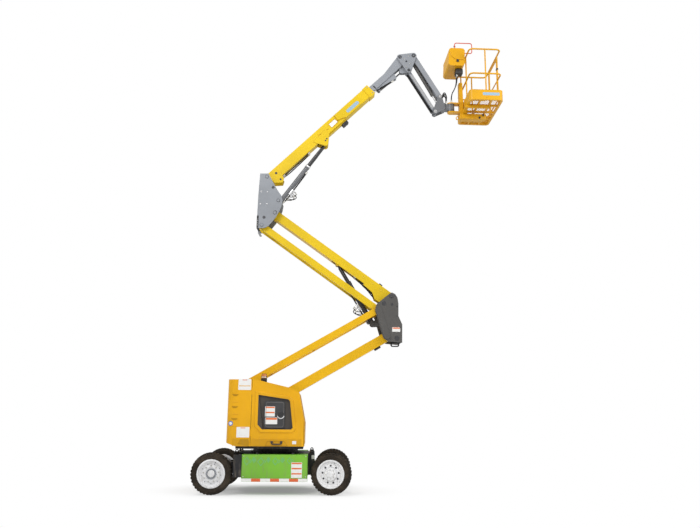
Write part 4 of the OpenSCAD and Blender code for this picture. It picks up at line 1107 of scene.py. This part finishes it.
class LIFT_OT_upright(LiftOperator, bpy.types.Operator):
    """Dress the upright: bolts, foot, bushes, and the lift cylinder's sleeve, fittings and hoses"""

    bl_idname = "lift.upright"
    bl_label = "Upright"

    def build(self, context):
        corners = sides(UPRIGHT_FACE, (-0.413, 5.486), (-0.295, 5.483), (-0.422, 5.240), (-0.295, 5.239))
        bolt_row("upright_bolts", "upright", corners, 0.011, "bright")
        foot = sides(UPRIGHT_FACE, *((-0.462, 4.80 + 0.034 * i) for i in range(5)))
        bolt_row("upright_foot_bolts", "upright", foot, 0.007, "bright")
        strip, shoe = Shape(), Shape()
        strip_line = [(-0.017, -0.118), (0.017, -0.118), (0.017, 0.118), (-0.017, 0.118)]
        shoe_line = ((-0.480, 4.764), (-0.440, 4.693), (-0.401, 4.701), (-0.438, 4.764))
        for sign in (-1, 1):
            strip.plate(strip_line, 0.0003, 0.0028, on_face(-0.462, 4.886, sign * UPRIGHT_FACE, sign),
                        0.0008, 1)
            shoe.plate([(-sign * x, z) for x, z in shoe_line], 0.0003, 0.0030,
                       on_face(0.0, 0.0, sign * 0.190, sign), 0.0006, 1)
        strip.done("upright_foot_strip", "upright", "black")
        shoe.done("upright_foot_shoe", "upright", "black")
        rings = Shape()
        for x, z, r in ((-0.192, 5.575, 0.019), (-0.138, 5.080, 0.024), (-0.345, 4.975, 0.020)):
            ring = [(r + 0.009, 0.0004), (r + 0.009, 0.003), (r, 0.0045), (r * 0.9, 0.001), (0, 0.0008)]
            for spot in sides(UPRIGHT_FACE, (x, z)):
                rings.turned(ring, spot, 32)
        rings.done("upright_bushes", "upright", "dark_metal")
        self.cylinder()

    def cylinder(self):
        """Sleeve, fittings, hoses and gland of the lift cylinder."""
        base = along(LIFT_BASE, AXIS["lift_rod"])
        _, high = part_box("lift_rod")
        reach = math.hypot(high[0] - 0.038 - LIFT_BASE.x, high[2] - 0.038 - LIFT_BASE.z)
        rod_sleeve("lift_rod_sleeve", "lift_rod", base, 0.60, reach - 0.060, 0.0385, 0.30)
        fitting_block("lift_fittings", "lift_barrel", base, 0.26, -1)
        for i, y in enumerate((-0.022, 0.020)):
            points = [(0.06, y, -0.055), (0.16, y, -0.072), (0.40, y, -0.066), (0.62, y, -0.062),
                      (0.84, y, -0.056)]
            hose("lift_hose_%d" % i, "lift_barrel", points, 0.9, base)
        gland = [(0.0485, 0.0), (0.0494, 0.002), (0.0494, 0.026), (0.0485, 0.028)]
        place = axes(base @ Vector((0.930, 0, 0)), (0, 1, 0), AXIS["lift_rod"])
        discs("lift_gland", "lift_barrel", "bright", [place], gland, 32, True)


# Plates on the boom's flanks: finish, smoothing angle, low and high face, bevel, its segments, outline
BOOM_PLATES = {
    "root_plates": ("yellow", 14, 0.0005, 0.010, 0.004, 2, (
        (0.040, -0.160), (0.160, -0.262), (0.236, -0.222), (0.276, -0.100), (0.212, 0.016), (0.074, 0.018),
        (0.036, -0.060))),
    "front_sleeve": ("yellow", 14, 0.0004, 0.0095, 0.004, 2, (
        (1.864, 0.061), (1.848, -0.068), (1.968, -0.104), (2.010, -0.140), (2.655, -0.140),
        (2.655, 0.060))),
    # White plate painted as the bright backdrop seen through the opening in the boom's side
    "side_pane": ("white", 32, 0.0004, 0.0018, 0.0003, 1, (
        (1.657, -0.006), (1.655, -0.092), (1.826, -0.084), (1.815, -0.006))),
    "collar_pads": ("yellow", 32, 0.0104, 0.0125, 0.001, 1, (
        (2.680, 0.030), (2.680, -0.110), (2.745, -0.110), (2.745, 0.030))),
    "boom_band": ("pale_blue", 32, 0.0097, 0.0108, 0.0003, 1, [
        (x + 2.265, z - 0.062) for x, z in stadium(0.128, 0.036)]),
}
# Lines on the flanks as round beads: radius, how far they stand out, and X and Z of their points
BOOM_LINES = {
    # Dark amber beads painted as the shade along the sleeve's step and round the side opening
    "sleeve_gap": (
        (0.0075, 0.0015, ((1.861, 0.060), (1.844, -0.071), (1.964, -0.107), (2.002, -0.142))),
        (0.0038, 0.0005, ((1.648, 0.001), (1.646, -0.100), (1.835, -0.092), (1.824, 0.001),
                          (1.648, 0.001)))),
    "gusset_slots": ((0.0035, 0.0005, ((1.335, -0.030), (1.440, -0.046), (1.590, -0.066))),),
}
# X, Z, radius and height off the flank of each hole
BOOM_HOLES = ((0.199, -0.037, 0.021, 0.0102), (0.177, -0.189, 0.017, 0.0102),
              (1.369, -0.207, 0.013, 0.0122), (1.415, -0.198, 0.013, 0.0122))


class LIFT_OT_boom(LiftOperator, bpy.types.Operator):
    """Dress the main boom: root plate, gusset, decals, collar and hoses"""

    bl_idname = "lift.boom"
    bl_label = "Main boom"

    def build(self, context):
        boom = along(BOOM, AXIS["telescope"])
        for name in ("root_plates", "front_sleeve"):
            self.plates(boom, name)
        self.lines(boom, "sleeve_gap")
        for name in ("side_pane", "collar_pads"):
            self.plates(boom, name)
        self.lines(boom, "gusset_slots")
        self.plates(boom, "boom_band")
        holes, collar = Shape(), Shape()
        for sign in (-1, 1):
            for x, z, r, out in BOOM_HOLES:
                rim = [(r + 0.004, 0.0), (r + 0.003, 0.0012), (r, 0.0012), (0, 0.0006)]
                holes.turned(rim, self.flank(boom, x, z, sign * (BOOM_FACE + out), sign), 24)
        # Charcoal discs painted as the shade inside the holes
        holes.done("boom_holes", "boom", "char")
        Shape().box((1.50, -0.060, -0.168), (1.99, 0.060, -0.1475), boom, 0.004).done(
            "boom_tray", "boom", "yellow")
        fitting = Shape().box((1.860, -0.052, -0.232), (1.995, 0.052, -0.168), boom, 0.010, 3)
        fitting.box((1.900, -0.066, -0.212), (1.950, 0.066, -0.182), boom, 0.006)
        fitting.done("boom_fitting", "boom", "plastic")
        for z in (-0.120, 0.040):
            for sign in (-1, 1):
                collar.bolt(self.flank(boom, 2.772, z, sign * 0.100, sign), 0.010, 0.007)
        collar.done("collar_bolts", "boom", "zinc")
        for name, y, drop in (("a", -0.055, 0.0), ("b", 0.055, 0.002)):
            points = [(0.26, y, -0.160), (0.45, y, drop - 0.176), (0.70, y, drop - 0.172), (0.98, y, -0.162)]
            hose("boom_hose_" + name, "boom", points, 1.1, boom)

    def flank(self, boom, x, z, y, sign):
        """Level place on a flank of the boom at an X and Z of the boom."""
        spot = boom @ Vector((x, y, z))
        return on_face(spot.x, spot.z, spot.y, sign)

    def plates(self, boom, name):
        """The same plate on both flanks."""
        finish, smooth, low, high, bevel, segments, outline = BOOM_PLATES[name]
        shape = Shape()
        for sign in (-1, 1):
            place = boom @ at(0, sign * BOOM_FACE, 0) @ spun(90, "X")
            span = (low, high) if sign < 0 else (-high, -low)
            shape.plate(list(outline), *span, place, bevel, segments)
        shape.done(name, "boom", finish, smooth)

    def lines(self, boom, name):
        """The same beads on both flanks."""
        shape = Shape()
        for sign in (-1, 1):
            for radius, out, points in BOOM_LINES[name]:
                y = sign * (BOOM_FACE + out)
                shape.tube(moved(boom, [(x, y, z) for x, z in points]), radius, 8)
        # All beads in amber darkened as painted shade
        shape.done(name, "boom", "amber_shade")


class LIFT_OT_jib(LiftOperator, bpy.types.Operator):
    """Dress the fly boom, the head and the jib"""

    bl_idname = "lift.jib"
    bl_label = "Head and jib"

    def build(self, context):
        boom = along(BOOM, AXIS["telescope"])
        self.strips("fly_slots", "fly", "plastic", boom, (2.886, 2.914), 0.0706, 0.0006, (-0.090, -0.018),
                    0.0004)
        self.strips("fly_edges", "fly", "grey", boom, (2.82, 3.24), 0.066, 0.004, (0.0195, 0.0225), 0.001)
        hose("fly_hose", "fly", [(2.825, -0.050, -0.116), (2.90, -0.054, -0.134), (3.02, -0.058, -0.168),
                                 (3.15, -0.058, -0.196), (3.28, -0.056, -0.214)], 1.2, boom)
        pins = ((HEAD, 0.036), (J1, 0.040), (J2, 0.032))
        self.pins("head_pins", "head", "dark_metal", HEAD_FACE, pins, 0.010, 0.004)
        spots = sides(HEAD_FACE, (2.380, 8.440), (2.470, 8.500), (2.500, 8.330), (2.420, 8.250))
        bolt_row("head_bolts", "head", spots, 0.009)
        self.arm()
        self.rotator()

    def strips(self, name, body, finish, place, xs, y, half, zs, bevel):
        """The same long block on both flanks of an arm."""
        shape = Shape()
        for sign in (-1, 1):
            shape.box((xs[0], sign * y - half, zs[0]), (xs[1], sign * y + half, zs[1]), place, bevel, 1)
        shape.done(name, body, finish)

    def pins(self, name, body, finish, y, pins, height, dish):
        """Ends of pins on both sides of a body."""
        shape = Shape()
        for point, radius in pins:
            for spot in sides(y, point):
                shape.disc_pin(spot, radius, height, dish)
        shape.done(name, body, finish)

    def arm(self):
        """Eyes, straps, link facings and pins of the jib."""
        eye = [(0.047, 0.0002), (0.047, 0.003), (0.040, 0.005), (0.034, 0.002), (0.034, 0.0002)]
        discs("jib_eyes", "jib", "grey", sides(JIB_FACE, J1, E1), eye, 32, True)
        run = E1 - J1
        length = run.length
        straps = Shape()
        for x in (0.16, length / 2, length - 0.17):
            straps.box((x - 0.010, -0.071, 0.0475), (x + 0.010, 0.071, 0.052), along(J1, run))
        straps.done("jib_straps", "jib", "grey")
        links = along(J2, E2 - J2)
        self.strips("link_facings", "jib_link", "bright", links, (0.10, length - 0.10), 0.0575, 0.0008,
                    (-0.018, 0.018), 0.0006)
        under = axes(links @ Vector((0, 0, -0.052)), (0, 1, 0), links.to_3x3().col[0])
        sleeve = [(0.0215, 0.045), (0.0232, 0.048), (0.0232, 1.002), (0.0215, 1.005)]
        discs("link_hose_sleeve", "jib_link", "hose", [under], sleeve, 20, True)
        self.pins("jib_end_pins", "jib_end", "bright", 0.094, ((E1, 0.030), (E2, 0.034)), 0.006, 0.003)

    def rotator(self):
        """Bands and hoses of the platform's rotator."""
        bands = Shape()
        for z in (7.350, 7.466):
            band = [(0.0735, z), (0.0755, z + 0.002), (0.0755, z + 0.012), (0.0735, z + 0.014)]
            bands.turned(band, at(TURN.x, TURN.y, 0), 40, True)
        bands.done("rotator_bands", "jib_end", "dark_metal")
        for i, (y, high) in enumerate(((-0.045, 7.70), (-0.020, 7.745), (0.010, 7.69), (0.036, 7.73))):
            hose("rotator_hose_%d" % i, "jib_end",
                 [(3.150, y, 7.500), (3.150, y, 7.60), (3.170, y * 1.2, high - 0.04),
                  (3.206, y * 1.3, high), (3.240, y * 1.2, high - 0.06), (3.240, y, 7.60),
                  (3.232, y, 7.500)])


# Simple blocks of the platform: finish, then low corner, high corner, bevel and its segments of each
PLATFORM_BLOCKS = {
    "gate_latch": ("plastic", ((4.210, -0.345, 8.130), (4.246, -0.280, 8.165), 0.004, 2)),
    "foot_switch_box": ("plastic", ((3.414, -0.200, 8.096), (3.560, -0.040, 8.204), 0.012, 3),
                        ((3.440, -0.180, 8.198), (3.530, -0.060, 8.222), 0.004, 2)),
    "floor_beam": ("basket", ((3.512, -0.060, 7.180), (4.040, 0.060, 7.2895), 0.006, 2),
                   ((3.505, -0.066, 7.176), (3.530, 0.066, 7.2895), 0.004, 2)),
    "beam_studs": ("plastic", ((3.964, -0.072, 7.240), (3.996, -0.0605, 7.284), 0.003, 2),
                   ((3.888, -0.072, 7.184), (3.920, -0.0605, 7.228), 0.003, 2)),
}
LEVER = ((0.034, 0.0), (0.030, 0.010), (0.022, 0.020), (0.013, 0.030), (0.008, 0.036), (0.008, 0.072),
         (0.017, 0.078), (0.020, 0.092), (0.014, 0.104), (0, 0.106))
MESH_PITCH = 0.055


def platform_block(name):
    finish, *blocks = PLATFORM_BLOCKS[name]
    shape = Shape()
    for low, high, bevel, segments in blocks:
        shape.box(low, high, HERE, bevel, segments)
    shape.done(name, "platform", finish)


class LIFT_OT_platform(LiftOperator, bpy.types.Operator):
    """Dress the platform: floor mesh, decals, latch of the gate, console and mount"""

    bl_idname = "lift.platform"
    bl_label = "Platform"

    def build(self, context):
        low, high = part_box("platform_floor")
        self.mesh(low, high)
        label("toe_band", "platform", on_face(4.01, 7.462, low[1]), 0.330, 0.062, 0, "pale_blue")
        hem = Shape()
        foot, top = high[2] - 0.006, high[2] + 0.002
        for y in (low[1] + 0.004, high[1] - 0.004):
            hem.box((low[0] + 0.07, y - 0.004, foot), (high[0] - 0.07, y + 0.004, top), HERE, 0.003)
        hem.box((low[0], low[1] + 0.07, foot), (low[0] + 0.008, high[1] - 0.07, top), HERE, 0.003)
        hem.done("toe_hem", "platform", "basket")
        spots = [at(x, sign * y, low[2]) for x, y in ((3.920, 0.588), (4.228, 0.330), (3.612, 0.250))
                 for sign in (1, -1)]
        discs("post_feet", "platform", "basket", spots,
              [(0.0265, 0.0402), (0.0265, 0.046), (0.0185, 0.052), (0.0145, 0.052)], 20, True)
        platform_block("gate_latch")
        self.console()
        self.mount()

    def mesh(self, low, high):
        """Expanded metal on the floor frame: two families of crossing strips."""
        inset = 0.030
        x0, x1, y0, y1 = low[0] + inset, high[0] - inset, low[1] + inset, high[1] - inset
        deep, wide = x1 - x0, y1 - y0
        strips = Shape()
        for edge, step, z in ((x0, 1, low[2] + 0.041), (x1, -1, low[2] + 0.041 + 0.0012)):
            for i in range(int((deep + wide) / MESH_PITCH) + 1):
                c = i * MESH_PITCH
                start = Vector((edge + step * max(0.0, c - wide), y0 + min(c, wide), z))
                end = Vector((edge + step * min(c, deep), y0 + max(0.0, c - deep), z))
                if abs(start.x - end.x) >= 0.02:
                    run = end - start
                    strips.box((0, -0.0025, 0), (run.length, 0.0025, 0.0018), axes(start, run), 0.0)
        strips.done("floor_mesh", "platform", "basket")

    def console(self):
        """Lid edge, latch, levers, foot switch box and cables of the control console."""
        low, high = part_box("control_console")
        near = low[1]
        arch = smooth_path([(3.262, 0, 8.540), (3.287, 0, 8.493), (3.322, 0, 8.415), (3.418, 0, 8.358),
                            (3.526, 0, 8.353), (3.574, 0, 8.380)])
        # Second bead: a dark line painted as the shade under the lid's edge
        beads = (("edge", "basket", 0, 0.0055), ("gap", "amber_shade", 0.011, 0.0035))
        for name, finish, drop, radius in beads:
            line = Shape()
            for y in (near - 0.0005, high[1] + 0.0005):
                line.tube([point + Vector((0, y, -drop)) for point in arch], radius, 8)
            line.done("console_lid_" + name, "platform", finish)
        Shape().box((3.412, near - 0.016, 8.292), (3.456, near - 0.001, 8.345), HERE, 0.004).done(
            "console_latch", "platform", "plastic")
        spots = [at(low[0] + 0.15, y, high[2]) for y in (-0.20, -0.07, 0.07, 0.20)]
        discs("console_levers", "platform", "plastic", spots, LEVER, 20)
        platform_block("foot_switch_box")
        for i, y in enumerate((-0.150, -0.120, -0.090, -0.065)):
            hose("console_cable_%d" % i, "platform",
                 [(3.450, y, 8.100), (3.444, y, 7.98), (3.430, y * 0.8, 7.88), (3.398, y * 0.45, 7.80),
                  (3.362, y * 0.3, 7.73), (3.346, y * 0.25, 7.64), (3.343, y * 0.25, 7.535)])

    def mount(self):
        """Nut and bolts of the rotator, and the beam under the floor."""
        top = at(TURN.x, TURN.y, 7.521)
        discs("rotator_nut", "platform", "dark_metal", [top],
              [(0.040, 0.0), (0.040, 0.010), (0.034, 0.014), (0, 0.014)], 32)
        spots = [top @ Matrix.Rotation(math.tau * i / 6, 4, "Z") @ at(0.054, 0, 0) for i in range(6)]
        bolt_row("rotator_bolts", "platform", spots, 0.007)
        platform_block("floor_beam")
        guide = on_face(3.472, 7.210, 0.0)
        Shape().hoop(stadium(0.0, 0.042), stadium(0.0, 0.028), -0.009, 0.009, guide).done(
            "cable_guide", "platform", "basket")
        platform_block("beam_studs")


FLOOR_HALF = 60.0
# Name, place, size and share of the key light's power of each soft light
LIGHTS = (
    ("key_light", (-4.5, -9.0, 12.0), 6.0, 1.0),
    ("side_light", (9.0, -6.0, 8.0), 6.0, 0.45),
    ("top_light", (0.0, 2.0, 15.0), 7.0, 0.40),
)
LIGHT_AIM = Vector((1.0, 0.0, 4.0))


class LIFT_OT_stage(LiftOperator, bpy.types.Operator):
    """Set up the pale floor, the soft lights and the camera"""

    bl_idname = "lift.stage"
    bl_label = "Studio"

    def build(self, context):
        scene = context.scene
        settings = scene.lift_stage
        self.floor(scene)
        self.world(scene, settings.fill_level)
        for name, place, size, share in LIGHTS:
            data = bpy.data.lights.new(name, "AREA")
            data.size = size
            data.energy = settings.key_power * share
            lamp = bpy.data.objects.new(name, data)
            lamp.location = place
            lamp.rotation_euler = (LIGHT_AIM - Vector(place)).to_track_quat("-Z", "Y").to_euler()
            scene.collection.objects.link(lamp)
        data = bpy.data.cameras.new("camera")
        data.lens = settings.lens_mm
        data.sensor_width = 36.0
        data.clip_end = 100.0
        camera = bpy.data.objects.new("camera", data)
        camera.location = settings.camera_place
        camera.rotation_euler = settings.camera_turn
        scene.collection.objects.link(camera)
        scene.camera = camera
        scene.view_settings.view_transform = "Standard"

    def floor(self, scene):
        """Floor that the camera sees as white except for a soft shade round the machine."""
        mesh = bpy.data.meshes.new("floor")
        corners = [(x * FLOOR_HALF, y * FLOOR_HALF, 0) for x, y in ((-1, -1), (1, -1), (1, 1), (-1, 1))]
        mesh.from_pydata(corners, [], [(0, 1, 2, 3)])
        floor = bpy.data.objects.new("floor", mesh)
        scene.collection.objects.link(floor)
        make = Nodes("studio_floor")
        make.set(Base_Color=(0.82, 0.82, 0.82, 1), Roughness=0.9)
        path = make.add("ShaderNodeLightPath").outputs
        seen = make.math("MAXIMUM", path["Is Camera Ray"], path["Is Glossy Ray"])
        seen = make.math("MAXIMUM", seen, path["Is Transmission Ray"])
        glow = make.add("ShaderNodeEmission", Strength=1.0)
        stretch = make.add("ShaderNodeMapping", Scale=(0.42, 0.62, 1.0))
        make.link(make.where, stretch.inputs["Vector"])
        fade = make.add("ShaderNodeVectorMath", operation="LENGTH")
        make.link(stretch.outputs["Vector"], fade.inputs[0])
        shade = make.ramp(fade.outputs["Value"], 0.25, 1.05, 0.25, 1.0)
        mix = make.fill(make.add("ShaderNodeMixShader"), (0, make.math("MULTIPLY", seen, shade)),
                        (1, make.shader.outputs[0]), (2, glow.outputs[0]))
        make.link(mix.outputs[0], make.tree.nodes["Material Output"].inputs["Surface"])
        mesh.materials.append(make.material)

    def world(self, scene, level):
        """White where the camera looks past the floor, and soft light of a level for all else."""
        world = bpy.data.worlds.new("studio_world")
        scene.world = world
        world.use_nodes = True
        tree = world.node_tree
        back = tree.nodes["Background"]
        back.inputs["Color"].default_value = (1, 1, 1, 1)
        path = tree.nodes.new("ShaderNodeLightPath")
        seen = tree.nodes.new("ShaderNodeMath")
        seen.operation = "MAXIMUM"
        tree.links.new(path.outputs["Is Camera Ray"], seen.inputs[0])
        tree.links.new(path.outputs["Is Transmission Ray"], seen.inputs[1])
        light = tree.nodes.new("ShaderNodeMapRange")
        light.inputs["To Min"].default_value = level
        light.inputs["To Max"].default_value = 1.0
        tree.links.new(seen.outputs[0], light.inputs["Value"])
        tree.links.new(light.outputs["Result"], back.inputs["Strength"])


OPERATORS = (
    LIFT_OT_paint, LIFT_OT_wheels, LIFT_OT_chassis, LIFT_OT_covers, LIFT_OT_beacon, LIFT_OT_riser,
    LIFT_OT_upright, LIFT_OT_boom, LIFT_OT_jib, LIFT_OT_platform, LIFT_OT_stage,
)


class LIFT_PT_panel(bpy.types.Panel):
    """Buttons for the pieces of the boom lift"""

    bl_idname = "LIFT_PT_panel"
    bl_label = "Boom lift"
    bl_space_type = "VIEW_3D"
    bl_region_type = "UI"
    bl_category = "Boom lift"

    def draw(self, context):
        for group in (context.scene.lift_colours, context.scene.lift_sizes, context.scene.lift_stage):
            column = self.layout.column()
            for name in group.__annotations__:
                column.prop(group, name)
        for operator in OPERATORS:
            self.layout.operator(operator.bl_idname)


CLASSES = (LiftColours, LiftSizes, StageSettings) + OPERATORS + (LIFT_PT_panel,)


def register():
    for cls in CLASSES:
        bpy.utils.register_class(cls)
    bpy.types.Scene.lift_colours = bpy.props.PointerProperty(type=LiftColours)
    bpy.types.Scene.lift_sizes = bpy.props.PointerProperty(type=LiftSizes)
    bpy.types.Scene.lift_stage = bpy.props.PointerProperty(type=StageSettings)


def unregister():
    del bpy.types.Scene.lift_stage
    del bpy.types.Scene.lift_sizes
    del bpy.types.Scene.lift_colours
    for cls in reversed(CLASSES):
        bpy.utils.unregister_class(cls)


def main():
    register()
    for operator in OPERATORS:
        prefix, name = operator.bl_idname.split(".")
        getattr(getattr(bpy.ops, prefix), name)()


if __name__ == "__main__":
    main()
